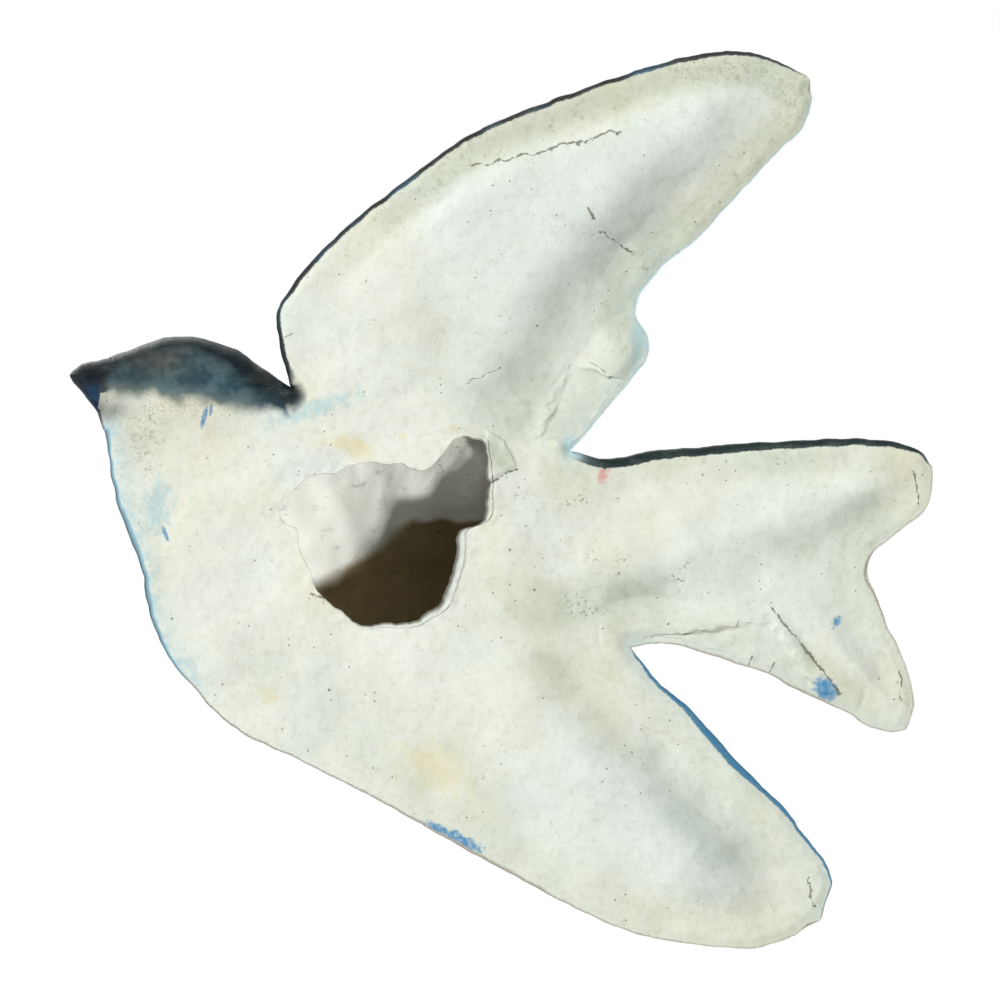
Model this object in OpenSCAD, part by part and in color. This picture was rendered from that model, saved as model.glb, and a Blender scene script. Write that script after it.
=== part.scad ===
// Hollow cast-plaster bird in flight, a wall ornament, modelled as it hangs.
// The wall is the plane y = 0 and the moulded front faces -Y. +Z is up and +X is towards the head.
// The origin is the seat of the nail: the top of the notch in the hole through the back.
// Every point below is [x, z] in that frame, and a height is measured from the wall towards the room.

/* [Casting] */
// Height of the belly above the wall
belly_h = 40; // [34:1:46]
// Height of the head above the wall
head_h = 31; // [26:1:36]
// Height of a wing at its shoulder
shoulder_h = 15; // [13:1:18]
// Height of a wing at its tip
tip_h = 8; // [7:0.5:10]
// Height of the tail where it leaves the body
tail_h = 14; // [12:1:16]
// Thickness of the edge round the wings and the tail
edge_h = 3.5; // [3:0.5:4.5]
// Height of the head's widest line above the wall
crown_h = 13; // [11:1:15]
// Thickness of the plaster round the hollow in the body
wall = 4; // [3.5:0.5:5]
// Thickness of the plaster skin that closes the back
skin = 2.5; // [2:0.5:3]

/* [Back] */
// Depth that the dish in the back of each wing is drawn to
wing_dish = 5; // [4:0.5:5.5]
// Depth that the dishes in the back of the tail are drawn to
tail_dish = 2.4; // [1.5:0.1:3]
// Width of the flat land that is left round each dish
land = 5; // [4:0.5:7]
// Width over which the land falls away into a dish
ramp = 9; // [7:0.5:11]
// Thickness of the plaster smeared on at the wing root and the tail's edge
smear = 1; // [0.6:0.1:1.2]
// Width of the broken bevel on the right of the hole
bevel = 1.8; // [1:0.1:2]
// Radius of the nail's seat at the top of the notch
seat_r = 4.4; // [4:0.1:4.6]
// Width of the painted strip along the wings' outer edges
wing_strip = 1.2; // [0.8:0.1:1.5]
// Width of the painted strip along the top of the tail
top_strip = 2.5; // [1.5:0.1:3]
// Width of the painted strip along the lower edges
low_strip = 0.4; // [0.2:0.1:0.6]

/* [Hidden] */

plaster = [0.91, 0.90, 0.84];
fresh_plaster = [0.95, 0.94, 0.90];
sky_blue = [0.42, 0.66, 0.82];
dark_teal = [0.16, 0.27, 0.31];
navy = [0.06, 0.13, 0.24];

// Corners where the pieces meet on the outline
throat = [90.3, 0];
neck = [44, 11];
upper_notch = [-26, -5];
lower_notch = [-41, -54];
flank = [69, -63];
beak_root = [90, 19];
chin = [92.5, 4.5];

// Outline of each piece, from its root to its tip
upper_lead = [neck, [47.5, 28], [41.5, 39], [30, 51], [16, 62], [-1, 74], [-21, 82.5], [-41, 89.5],
              [-58, 94], [-70, 94.5], [-79, 91.5], [-83, 89]];
upper_trail = [upper_notch, [-37, 8], [-45.5, 20], [-42, 31], [-49, 41], [-57.5, 48], [-64, 55],
               [-71, 62.5], [-78, 70], [-84, 76], [-86, 82.5], [-85, 85]];
lower_lead = [flank, [58, -74], [42, -82], [26, -90], [9, -99.5], [-10, -110], [-25, -118],
              [-41, -125], [-57, -128], [-71, -129], [-81, -126], [-85, -123]];
lower_trail = [lower_notch, [-47, -62], [-54, -68], [-61, -75], [-67, -82], [-74, -89], [-80, -95],
               [-85, -102], [-89, -107], [-91, -112], [-90, -116], [-88.5, -119.5]];
tail_top = [upper_notch, [-35, -7], [-46, -5], [-58, -4], [-70, -3], [-81, -2.5], [-91, -2],
            [-100, -2], [-108, -3], [-113, -5], [-116, -9]];
tail_low = [lower_notch, [-49, -53], [-58, -55], [-67, -58], [-76, -61], [-83, -65], [-90, -68],
            [-96, -71], [-101, -74], [-106, -75], [-109.5, -74.5]];
tail_end = [[-116, -9], [-116, -14], [-114, -20], [-108, -25], [-101, -30.5], [-99, -36], [-102, -42],
            [-105, -49], [-108, -55], [-110.5, -62], [-111.5, -68], [-109.5, -74.5]];
breast_edge = [flank, [74, -57], [78, -49], [80, -42], [81, -35], [84, -27], [87, -19], [88.5, -12],
               [89.3, -6], throat];
crown_edge = [beak_root, [85, 20.5], [79, 23], [72, 24], [65, 23], [59, 21], [53, 17], [48, 13.5], neck];
beak_top = [beak_root, [95, 17.5], [98, 16.5], [100, 15]];
beak_low = [chin, [95.5, 7.8], [98, 11], [100, 13.5]];

// Broken edge of the hole, from its left corner over the notch and round the foot
hole_edge = [[46.5, -20], [45, -17], [40, -12], [31, -9.5], [23.5, -8], [17, -8.5], [11, -10],
             [8, -8], [5.2, -4.5], [3.4, -2.2], [0, -1.2], [-3.2, -2.4], [-4.6, -5], [-5, -13],
             [-4, -22], [2, -25], [2.5, -30], [4, -36], [6, -42], [13, -47], [21, -48],
             [27, -48], [36, -41], [41, -31.5], [42, -25], [45, -23]];
hole_centre = [21, -27];

// Ridges that carry the height of the front: x, z, height, half width
body_ridge = [[75, 10, head_h, 19], [54, -15, belly_h - 3, 36], [34, -27, belly_h, 38],
              [12, -32, belly_h - 4, 34], [-12, -32, belly_h * 0.65, 25], [-36, -30, tail_h + 3, 17],
              [-62, -29, tail_h - 3, 10]];
upper_ridge = [[8, -5, shoulder_h + 1, 46], [-1, 25, shoulder_h, 47], [-24, 54, 12.5, 38],
               [-48, 72, 10, 28], [-78, 86, tip_h, 19]];
lower_ridge = [[12, -42, shoulder_h + 1, 46], [-1, -68, shoulder_h, 48], [-26, -90, 12.5, 38],
               [-52, -107, 10, 28], [-80, -118, tip_h, 19]];
tail_ridge = [[-30, -29, tail_h, 32], [-58, -30, tail_h - 3, 32], [-84, -34, 9, 40], [-108, -38, 8, 50]];
beak_ridge = [[90, 12, head_h - 4, 14], [98, 14.5, crown_h + 4, 6]];

// Dishes that the slush left in the back: x, z, share of the depth, width. Each wing has a broad
// one with a steeper one beside it
wing_dishes = [
    [[16, 30, 0.25, 14], [-4, 52, 0.5, 18], [-30, 69, 0.5, 16], [-56, 80, 0.3, 11]],
    [[-5, 15, 0.22, 9], [-16, 34, 0.6, 10], [-28, 50, 0.7, 9.5], [-44, 66, 0.65, 9], [-58, 76, 0.4, 8]],
    [[-12, -74, 0.2, 14], [-34, -92, 0.45, 17], [-56, -108, 0.35, 13]],
    [[-17, -68, 0.25, 8], [-31, -84, 0.5, 8.5], [-44, -93.5, 0.6, 8.5], [-56, -105, 0.65, 8.5],
     [-67, -114, 0.4, 7.5]]];
tail_dishes = [
    [[-60, -27, 0.3, 8], [-80, -21, 0.9, 8], [-98, -14, 0.8, 7]],
    [[-86, -48, 0.5, 8], [-98, -60, 0.9, 7]],
    [[-12, -33, 0.3, 8], [-28, -36, 0.45, 8], [-46, -34, 0.8, 7], [-62, -33, 0.4, 7]]];

// Shallow beds that the two smears of plaster fill, up to the wall's plane
wing_bed = [[-26, 0, smear, 13], [-38, 18, smear, 13]];
tail_bed = [[-44, -50, smear, 11], [-88, -64, smear, 11]];

function mix(a, b, t) = a + (b - a) * t;
function unit(t) = min(1, max(0, t));
function smooth(t) = let (q = unit(t)) q * q * (3 - 2 * q);

// Quarter circle: 0 at an edge, 1 once t reaches 1
function rounded(t) = let (q = 1 - unit(t)) sqrt(1 - q * q);

// The higher of two heights, with the crease between them filled over k millimetres
function blend(a, b, k) = (a + b + sqrt((a - b) * (a - b) + k * k)) / 2;

// Catmull-Rom curve through p, at t from 0 to 1
function spline(a, b, c, d, f) =
    0.5 * (2 * b + (c - a) * f + (2 * a - 5 * b + 4 * c - d) * f * f
           + (3 * b - a - 3 * c + d) * f * f * f);
function along(p, t) =
    let (n = len(p) - 1, u = unit(t) * n, i = min(n - 1, floor(u)))
    spline(p[max(0, i - 1)], p[i], p[i + 1], p[min(n, i + 2)], u - i);
function around(p, t) =
    let (n = len(p), i = floor(t), k = (i + n) % n)
    spline(p[(k + n - 1) % n], p[k], p[(k + 1) % n], p[(k + 2) % n], t - i);

// Even steps, and steps that crowd towards both ends
function even(n) = [for (i = [0:n]) i / n];
function crowded(n) = [for (i = [0:n]) (1 - cos(180 * i / n)) / 2];

// Steps between two neighbouring outline points, and points on each run of the loop round the body
fine = 3;
run = 18;
fork = 5 / 11;
function lobe_cols(c0, c1) = [for (c = crowded(12)) mix(c0, c1, c)];
function sampled(p, steps) = [for (t = steps) along(p, t)];
wing_rows = even(fine * 11);
tail_rows = even(fine * 10);
edges = [sampled(crown_edge, even(24)), sampled(upper_lead, wing_rows), sampled(upper_trail, wing_rows),
         sampled(lower_lead, wing_rows), sampled(lower_trail, wing_rows),
         sampled(tail_top, tail_rows), sampled(tail_low, tail_rows),
         sampled(tail_end, lobe_cols(0, fork)), sampled(tail_end, lobe_cols(fork, 1)),
         sampled(breast_edge, even(run)), sampled(beak_top, even(9)), sampled(beak_low, even(9)),
         [chin, throat], [upper_lead[11], upper_trail[11]], [lower_lead[11], lower_trail[11]],
         [beak_top[3], beak_low[3]]];

// Distance from q to the stretch from a to b, and to the whole outline
function stretch(q, a, b) =
    let (ab = b - a, t = unit((q - a) * ab / max(1e-9, ab * ab)))
    norm(q - a - ab * t);
function inside(q) =
    min([for (e = edges) for (i = [0:len(e) - 2]) stretch(q, e[i], e[i + 1])]);

// Height at q of a ridge or dish, whose section is a round or a flatter arch
function arch(q, r, bend) =
    max([for (i = [0:len(r) - 2])
        let (a = [r[i][0], r[i][1]], b = [r[i + 1][0], r[i + 1][1]], ab = b - a,
             t = unit((q - a) * ab / (ab * ab)), m = mix(r[i], r[i + 1], t),
             d = norm(q - a - ab * t) / m[3])
        m[2] * pow(max(0, 1 - d * d), bend)]);

// Share of a dish's depth at q: its line's share there, falling away as exp(-d * d)
function bell(t) = exp(-t * t);
function trough(q, r) =
    max([for (i = [0:len(r) - 2])
        let (a = [r[i][0], r[i][1]], b = [r[i + 1][0], r[i + 1][1]], ab = b - a,
             t = unit((q - a) * ab / (ab * ab)), m = mix(r[i], r[i + 1], t))
        m[2] * bell(norm(q - a - ab * t) / m[3])]);
function total(list, i = 0) = i < len(list) ? list[i] + total(list, i + 1) : 0;

// How much a place belongs to the head, from 0 to 1
head_front = [96, 12];
head_rear = [66, 12];
function headness(q) =
    smooth((20 - stretch(q, head_front, head_rear)) / 9) * smooth(q[1] / 8);
function bodiness(q) = smooth(arch(q, body_ridge, 0.5) / belly_h * 2);

// Height of the outline's edge, and the heights of the front and of the back
function edge_at(q) = mix(edge_h, crown_h, headness(q));
function front_at(q) =
    let (e = edge_at(q), d = inside(q), r = mix(8, 15, max(bodiness(q), headness(q))),
         wings = max(arch(q, upper_ridge, 0.5), arch(q, lower_ridge, 0.5)),
         body = max(arch(q, body_ridge, 0.6), arch(q, beak_ridge, 0.5)),
         top = blend(blend(wings, arch(q, tail_ridge, 0.5), 3), body, 4))
    e + max(0, top - e) * rounded(d / r);
function dish_at(q) =
    wing_dish * total([for (r = wing_dishes) trough(q, r)]) + tail_dish * total([for (r = tail_dishes) trough(q, r)]);
function back_at(q) =
    let (d = inside(q), rise = (edge_at(q) - 1.2) * headness(q) * (1 - rounded(d / 16)))
    rise + max(dish_at(q) * smooth((d - land) / ramp), arch(q, wing_bed, 0.3), arch(q, tail_bed, 0.3));

// Height that the feathers add to the front: rows of coverts lie on a wing's flight feathers and on
// the tail's root, and the step down from a row is spread over one column or row of the grid
vane = 0.3;
step = 0.8;
function wing_feathers(s, c) =
    smooth(s * 8 - 0.4) * (vane + step * (smooth((0.58 - c) * 16) + smooth((0.36 - c) * 16)));
function tail_feathers(s) = smooth(s * 10) * (vane + step * smooth((0.28 - s) * 16));
function feathered(q, h) = at(q, front_at(q) + h * smooth(inside(q) / 2.5));

// Width by which the front overhangs the back, seen from the wall as a painted strip
function overhang(s, w) = w * smooth(s * 8);
tip_in = 0.99;

// Place on a wing: s from root to tip, c from its leading to its trailing edge
upper_bow = [0, 7];
lower_bow = [0, -5];
function wing_place(lead, trail, bow, s, c) =
    mix(along(lead, s), along(trail, s), c) + bow * pow(1 - s, 4) * 4 * c * (1 - c);

// Place on the tail: s from root to end, c from its upper to its lower edge
function tail_place(s, c) =
    mix(along(tail_top, s), along(tail_low, s), c)
    + pow(s, 3) * (along(tail_end, c) - mix(tail_top[10], tail_low[10], c));

// Place on the head: s from the beak to the neck, c from the crown to the throat
cheek = 0.76;
neck_end = 0.985;
function face_edge(c) = c < cheek ? mix(beak_root, chin, c / cheek) : mix(chin, throat, (c - cheek) / (1 - cheek));
function head_place(s, c) =
    mix(along(crown_edge, s), mix(throat, neck, s), c)
    + pow(1 - s, 6) * (face_edge(c) - mix(beak_root, throat, c));
function beak_place(s, c) = mix(along(beak_top, s), along(beak_low, s), c);

// A point of the casting: [x, z] at height h above the wall
function at(q, h) = [q[0], -h, q[1]];

// Triangles of a grid of m by n points that starts at point k
function grid(m, n, k, flip) =
    [for (i = [0:m - 2]) for (j = [0:n - 2])
        let (a = k + i * n + j, b = a + 1, c = a + n, d = c + 1)
        each flip ? [[a, b, c], [b, d, c]] : [[a, c, b], [b, c, d]]];

// Triangles of the wall between two rows of points
function rim(a, b, flip) =
    [for (i = [0:len(a) - 2])
        each flip ? [[a[i], b[i], a[i + 1]], [a[i + 1], b[i], b[i + 1]]]
                  : [[a[i], a[i + 1], b[i]], [a[i + 1], b[i + 1], b[i]]]];

// Closed slab between a front grid and a back grid of m by n points each
module slab(front, back) {
    m = len(front);
    n = len(front[0]);
    k = m * n;
    first = [for (j = [0:n - 1]) j];
    last = [for (j = [0:n - 1]) (m - 1) * n + j];
    left = [for (i = [0:m - 1]) i * n];
    right = [for (i = [0:m - 1]) i * n + n - 1];
    points = concat([for (row = front) each row], [for (row = back) each row]);
    faces = concat(grid(m, n, 0, false), grid(m, n, k, true),
                   rim(first, [for (v = first) v + k], false),
                   rim(last, [for (v = last) v + k], true),
                   rim(left, [for (v = left) v + k], true),
                   rim(right, [for (v = right) v + k], false));
    polyhedron(points, faces, convexity = 6);
}

// Loop round the body's outline: five runs, each from one corner to the next
function seam(i) =
    i < run ? mix(throat, neck, i / run)
    : i < 2 * run ? wing_place(upper_lead, upper_trail, upper_bow, 0, (i - run) / run)
    : i < 3 * run ? mix(upper_notch, lower_notch, (i - 2 * run) / run)
    : i < 4 * run ? wing_place(lower_lead, lower_trail, lower_bow, 0, 1 - (i - 3 * run) / run)
    : along(breast_edge, (i - 4 * run) / run);
body_loop = [for (i = [0:5 * run - 1]) seam(i)];

// Loop round the hole, point for point beside the loop round the body
hole_stops = [0, 4, 12.5, 16.5, 21, 26];
function hole_point(i) =
    let (k = floor(i / run), f = i / run - k)
    around(hole_edge, mix(hole_stops[k], hole_stops[k + 1], f));
hole_loop = [for (i = [0:5 * run - 1]) hole_point(i)];
function bevelled(q) =
    let (v = (q - hole_centre) / norm(q - hole_centre))
    q + v * (0.3 + bevel * max(0, v * [-0.92, -0.39]));

// Triangles of the band between two loops of n points, which start at points a and b
function band(n, a, b) =
    [for (i = [0:n - 1]) let (j = (i + 1) % n)
        each [[a + i, a + j, b + i], [a + j, b + j, b + i]]];

module back_skin() {
    n = len(body_loop);
    steps = [0, 0.08, 0.2, 0.4, 0.6, 0.8, 1];
    outer = [for (t = steps) [for (i = [0:n - 1])
        let (q = mix(body_loop[i], bevelled(hole_loop[i]), t)) at(q, back_at(q))]];
    inner = [for (t = [1, 0.5, 0]) [for (i = [0:n - 1]) at(mix(body_loop[i], hole_loop[i], t), skin)]];
    rings = concat(outer, inner);
    count = len(rings);
    faces = [for (k = [0:count - 1]) each band(n, k * n, ((k + 1) % count) * n)];
    color(plaster)
    difference() {
        polyhedron([for (r = rings) each r], faces);
        translate([0, 2, -seat_r]) rotate([90, 0, 0]) cylinder(h = skin + 4, r = seat_r, $fn = 48);
    }
}

module breast_shell() {
    n = len(body_loop);
    middle = [20.5, -24];
    outward = [1, 0.985, 0.96, 0.92, 0.86, 0.78, 0.68, 0.56, 0.43, 0.29, 0.15];
    inward = [0.15, 0.32, 0.5, 0.66, 0.8, 0.9, 0.96, 1];
    mouth = [for (i = [0:n - 1]) mix(body_loop[i], bevelled(hole_loop[i]), 0.3)];
    front = [for (t = outward) [for (i = [0:n - 1])
        let (q = mix(middle, body_loop[i], t)) at(q, front_at(q))]];
    hollow = [for (t = inward) [for (i = [0:n - 1])
        let (q = mix(middle, mouth[i], t), depth = front_at(q) - wall - skin,
             close = norm(q - mouth[i]) / 9)
        at(q, skin + max(0, depth) * rounded(close))]];
    foot = [for (i = [0:n - 1]) at(body_loop[i], skin)];
    rings = concat(front, [for (r = hollow) r], [foot]);
    lit = [at(middle, front_at(middle)), at(middle, front_at(middle) - wall)];
    points = concat([for (r = front) each r], [for (r = hollow) each r], foot, lit);
    last_front = (len(front) - 1) * n;
    first_hollow = len(front) * n;
    last_hollow = (len(front) + len(hollow) - 1) * n;
    foot_row = last_hollow + n;
    faces = concat(
        [for (k = [0:len(front) - 2]) each band(n, (k + 1) * n, k * n)],
        [for (i = [0:n - 1]) [last_front + (i + 1) % n, last_front + i, foot_row + n]],
        [for (k = [0:len(hollow) - 2]) each band(n, first_hollow + (k + 1) * n, first_hollow + k * n)],
        [for (i = [0:n - 1]) [first_hollow + i, first_hollow + (i + 1) % n, foot_row + n + 1]],
        band(n, foot_row, last_hollow),
        band(n, 0, foot_row));
    color(sky_blue) polyhedron(points, faces);
}

// Grids of the back of a wing and of the tail, drawn in from the front by the overhang
wing_cols = crowded(18);
function wing_back(lead, trail, bow, lead_strip, trail_strip, s, c) =
    let (chord = norm(along(lead, s) - along(trail, s)),
         a = overhang(s, lead_strip) / chord, b = overhang(s, trail_strip) / chord)
    wing_place(lead, trail, bow, s * tip_in, mix(a, 1 - b, c));
function tail_back(s, c) =
    let (a = overhang(s, top_strip) / 50, b = overhang(s, low_strip) / 50)
    tail_place(s * tip_in, c < fork ? mix(a, fork, c / fork) : mix(fork, 1 - b, (c - fork) / (1 - fork)));

module upper_wing() {
    front = [for (s = wing_rows) [for (c = wing_cols)
        feathered(wing_place(upper_lead, upper_trail, upper_bow, s, c), wing_feathers(s, c))]];
    back = [for (s = wing_rows) [for (c = wing_cols)
        let (q = wing_back(upper_lead, upper_trail, upper_bow, wing_strip, low_strip, s, c))
        at(q, back_at(q))]];
    color(sky_blue) slab(back, front);
}

module lower_wing() {
    front = [for (s = wing_rows) [for (c = wing_cols)
        feathered(wing_place(lower_lead, lower_trail, lower_bow, s, c), wing_feathers(s, c))]];
    back = [for (s = wing_rows) [for (c = wing_cols)
        let (q = wing_back(lower_lead, lower_trail, lower_bow, low_strip, wing_strip, s, c))
        at(q, back_at(q))]];
    color(sky_blue) slab(front, back);
}

module tail_lobe(c0, c1) {
    front = [for (s = tail_rows) [for (c = lobe_cols(c0, c1)) feathered(tail_place(s, c), tail_feathers(s))]];
    back = [for (s = tail_rows) [for (c = lobe_cols(c0, c1))
        let (q = tail_back(s, c)) at(q, back_at(q))]];
    color(sky_blue) slab(back, front);
}

module head() {
    rows = [for (s = even(24)) min(s, neck_end)];
    cols = crowded(14);
    front = [for (s = rows) [for (c = cols) let (q = head_place(s, c)) at(q, front_at(q))]];
    back = [for (s = rows) [for (c = cols) let (q = head_place(s, mix(0.02, 1, c))) at(q, back_at(q))]];
    color(dark_teal) slab(back, front);
}

module beak() {
    rows = even(9);
    cols = crowded(10);
    front = [for (s = rows) [for (c = cols) let (q = beak_place(s, c)) at(q, front_at(q))]];
    back = [for (s = rows) [for (c = cols) let (q = beak_place(s, c)) at(q, back_at(q))]];
    color(navy) slab(front, back);
}

// Plaster smeared into a bed: from the casting's own back out to the wall's plane
module wing_root_smear() {
    places = [for (i = [0:7]) [for (j = [12:18])
        wing_back(upper_lead, upper_trail, upper_bow, wing_strip, low_strip, wing_rows[i], wing_cols[j])]];
    color(fresh_plaster)
    slab([for (row = places) [for (q = row) at(q, 0)]], [for (row = places) [for (q = row) at(q, back_at(q))]]);
}

module tail_edge_smear() {
    cols = lobe_cols(fork, 1);
    places = [for (i = [1:17]) [for (j = [7:12]) tail_back(tail_rows[i], cols[j])]];
    color(fresh_plaster)
    slab([for (row = places) [for (q = row) at(q, 0)]], [for (row = places) [for (q = row) at(q, back_at(q))]]);
}

back_skin();
breast_shell();
head();
beak();
upper_wing();
lower_wing();
tail_lobe(0, fork);  // upper_tail_lobe
tail_lobe(fork, 1);  // lower_tail_lobe
wing_root_smear();
tail_edge_smear();
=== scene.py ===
"""A hollow cast-plaster bird that hangs on a wall, looked at from its bare back.

Shapes are worked out in millimetres on [x, z] grids, x towards the head and z up. A height is
measured from the wall towards the room, so a point is at (x, -height, z). The last step of each
piece turns millimetres into metres.
"""
import math

import bpy
import numpy as np
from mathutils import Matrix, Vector


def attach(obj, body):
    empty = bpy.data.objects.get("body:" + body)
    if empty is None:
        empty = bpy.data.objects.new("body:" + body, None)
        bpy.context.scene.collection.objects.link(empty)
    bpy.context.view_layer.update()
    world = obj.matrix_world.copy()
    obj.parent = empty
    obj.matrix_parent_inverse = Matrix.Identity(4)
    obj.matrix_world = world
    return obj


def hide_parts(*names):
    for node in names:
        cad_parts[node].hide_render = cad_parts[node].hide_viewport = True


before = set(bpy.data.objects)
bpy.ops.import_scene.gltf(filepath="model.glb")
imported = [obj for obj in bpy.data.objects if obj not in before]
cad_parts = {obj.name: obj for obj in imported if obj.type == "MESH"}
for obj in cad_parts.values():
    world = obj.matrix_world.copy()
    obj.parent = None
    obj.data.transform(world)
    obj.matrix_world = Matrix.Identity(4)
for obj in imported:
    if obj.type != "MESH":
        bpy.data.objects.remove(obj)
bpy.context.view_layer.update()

MM = 0.001

# Heights above the wall and thicknesses
BELLY_H = 40.0
HEAD_H = 31.0
SHOULDER_H = 15.0
TIP_H = 8.0
TAIL_H = 14.0
EDGE_H = 3.5
CROWN_H = 13.0
WALL = 4.0
SKIN = 2.5
SMEAR = 1.0
BEVEL = 2.2
LIP = 0.6
WING_DISH = 5.0
TAIL_DISH = 2.4
LAND = 5.0
RAMP = 9.0

# Rises inside the hollow: centre, share of the depth, width
RISES = (([-8.0, -9.0], 0.75, 11), ([13.0, -19.0], 0.16, 16))

# Steps of each piece's grid, from root to tip and across, or in rings
WING_ROWS, WING_COLS = 230, 180
TAIL_ROWS, UPPER_TAIL_COLS, LOWER_TAIL_COLS = 150, 80, 90
HEAD_ROWS, HEAD_COLS = 120, 70
BEAK_ROWS, BEAK_COLS = 40, 44
SMEAR_ROWS, SMEAR_COLS = 90, 60
SKIN_RINGS, EDGE_RINGS, UNDER_RINGS = 84, 10, 11
FRONT_RINGS, HOLLOW_RINGS = 100, 34
RUNS = (110, WING_COLS, 70, WING_COLS, 110)

# Corners where the pieces meet on the outline
THROAT = [90.3, 0]
NECK = [44, 11]
UPPER_NOTCH = [-26, -5]
LOWER_NOTCH = [-41, -54]
FLANK = [69, -63]
BEAK_ROOT = [90, 19]
CHIN = [92.5, 4.5]

# Outline of each piece, from its root to its tip
UPPER_LEAD = [NECK, [47.5, 28], [41.5, 39], [30, 51], [16, 62], [-1, 74], [-21, 82.5], [-41, 89.5],
              [-58, 94], [-70, 94.5], [-79, 91.5], [-83, 89]]
UPPER_TRAIL = [UPPER_NOTCH, [-37, 8], [-45.5, 20], [-42, 31], [-49, 41], [-57.5, 48], [-64, 55],
               [-71, 62.5], [-78, 70], [-84, 76], [-86, 82.5], [-85, 85]]
LOWER_LEAD = [FLANK, [58, -74], [42, -82], [26, -90], [9, -99.5], [-10, -110], [-25, -118],
              [-41, -125], [-57, -128], [-71, -129], [-81, -126], [-85, -123]]
LOWER_TRAIL = [LOWER_NOTCH, [-47, -62], [-54, -68], [-61, -75], [-67, -82], [-74, -89], [-80, -95],
               [-85, -102], [-89, -107], [-91, -112], [-90, -116], [-88.5, -119.5]]
TAIL_TOP = [UPPER_NOTCH, [-35, -7], [-46, -5], [-58, -4], [-70, -3], [-81, -2.5], [-91, -2],
            [-100, -2], [-108, -3], [-113, -5], [-116, -9]]
TAIL_LOW = [LOWER_NOTCH, [-49, -53], [-58, -55], [-67, -58], [-76, -61], [-83, -65], [-90, -68],
            [-96, -71], [-101, -74], [-106, -75], [-109.5, -74.5]]
TAIL_END = [[-116, -9], [-116, -14], [-114, -20], [-108, -25], [-101, -30.5], [-99, -36], [-102, -42],
            [-105, -49], [-108, -55], [-110.5, -62], [-111.5, -68], [-109.5, -74.5]]
BREAST_EDGE = [FLANK, [74, -57], [78, -49], [80, -42], [81, -35], [84, -27], [87, -19], [88.5, -12],
               [89.3, -6], THROAT]
CROWN_EDGE = [BEAK_ROOT, [85, 20.5], [79, 23], [72, 24], [65, 23], [59, 21], [53, 17], [48, 13.5], NECK]
BEAK_TOP = [BEAK_ROOT, [95, 17.5], [98, 16.5], [100, 15]]
BEAK_LOW = [CHIN, [95.5, 7.8], [98, 11], [100, 13.5]]

# Broken edge of the hole, from its left corner over the notch and round the foot
HOLE_EDGE = [[46.5, -20], [45, -17], [40, -12], [31, -9.5], [23.5, -8], [17, -8.5], [11, -10],
             [8, -8], [5.2, -4.5], [3.4, -2.2], [0, -1.2], [-3.2, -2.4], [-4.6, -5], [-5, -13],
             [-4, -22], [2, -25], [2.5, -30], [4, -36], [6, -42], [13, -47], [21, -48],
             [27, -48], [36, -41], [41, -31.5], [42, -25], [45, -23]]
HOLE_CENTRE = np.array([21.0, -27.0])
HOLE_STOPS = [0, 4, 12.5, 16.5, 21, 26]
MIDDLE = np.array([20.5, -24.0])

# Ridges of the front: x, z, height, half width
BODY_RIDGE = [[75, 10, HEAD_H, 19], [54, -15, BELLY_H - 3, 36], [34, -27, BELLY_H, 38],
              [12, -32, BELLY_H - 4, 34], [-12, -32, BELLY_H * 0.65, 25], [-36, -30, TAIL_H + 3, 17],
              [-62, -29, TAIL_H - 3, 10]]
UPPER_RIDGE = [[8, -5, SHOULDER_H + 1, 46], [-1, 25, SHOULDER_H, 47], [-24, 54, 12.5, 38],
               [-48, 72, 10, 28], [-78, 86, TIP_H, 19]]
LOWER_RIDGE = [[12, -42, SHOULDER_H + 1, 46], [-1, -68, SHOULDER_H, 48], [-26, -90, 12.5, 38],
               [-52, -107, 10, 28], [-80, -118, TIP_H, 19]]
TAIL_RIDGE = [[-30, -29, TAIL_H, 32], [-58, -30, TAIL_H - 3, 32], [-84, -34, 9, 40], [-108, -38, 8, 50]]
BEAK_RIDGE = [[90, 12, HEAD_H - 4, 14], [98, 14.5, CROWN_H + 4, 6]]

# Dishes of the back: x, z, share of the depth, width. Each wing has a broad one and a steeper one
WING_DISHES = [
    [[16, 30, 0.25, 14], [-4, 52, 0.5, 18], [-30, 69, 0.5, 16], [-56, 80, 0.3, 11]],
    [[-5, 15, 0.22, 9], [-16, 34, 0.6, 10], [-28, 50, 0.7, 9.5], [-44, 66, 0.65, 9], [-58, 76, 0.4, 8]],
    [[-12, -74, 0.2, 14], [-34, -92, 0.45, 17], [-56, -108, 0.35, 13]],
    [[-17, -68, 0.25, 8], [-31, -84, 0.5, 8.5], [-44, -93.5, 0.6, 8.5], [-56, -105, 0.65, 8.5],
     [-67, -114, 0.4, 7.5]],
]
TAIL_DISHES = [
    [[-60, -27, 0.3, 8], [-80, -21, 0.9, 8], [-98, -14, 0.8, 7]],
    [[-86, -48, 0.5, 8], [-98, -60, 0.9, 7]],
    [[-12, -33, 0.3, 8], [-28, -36, 0.45, 8], [-46, -34, 0.8, 7], [-62, -33, 0.4, 7]],
]
WING_BED = [[-27, 1, SMEAR, 10.5], [-39, 17, SMEAR, 10.5]]
TAIL_BED = [[-44, -50, SMEAR, 11], [-88, -64, SMEAR, 11]]

UPPER_BOW = np.array([0.0, 7.0])
LOWER_BOW = np.array([0.0, -5.0])
FORK = 5 / 11
CHEEK = 0.76


def unit(t):
    """t held between 0 and 1."""
    return np.clip(t, 0.0, 1.0)


def smooth(t):
    """0 up to t = 0, 1 from t = 1, and t²(3 - 2t) between."""
    q = unit(t)
    return q * q * (3 - 2 * q)


def rounded(t):
    """Quarter circle: the square root of 1 - (1 - t)², so 0 at an edge and 1 once t reaches 1."""
    q = 1 - unit(t)
    return np.sqrt(1 - q * q)


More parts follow.
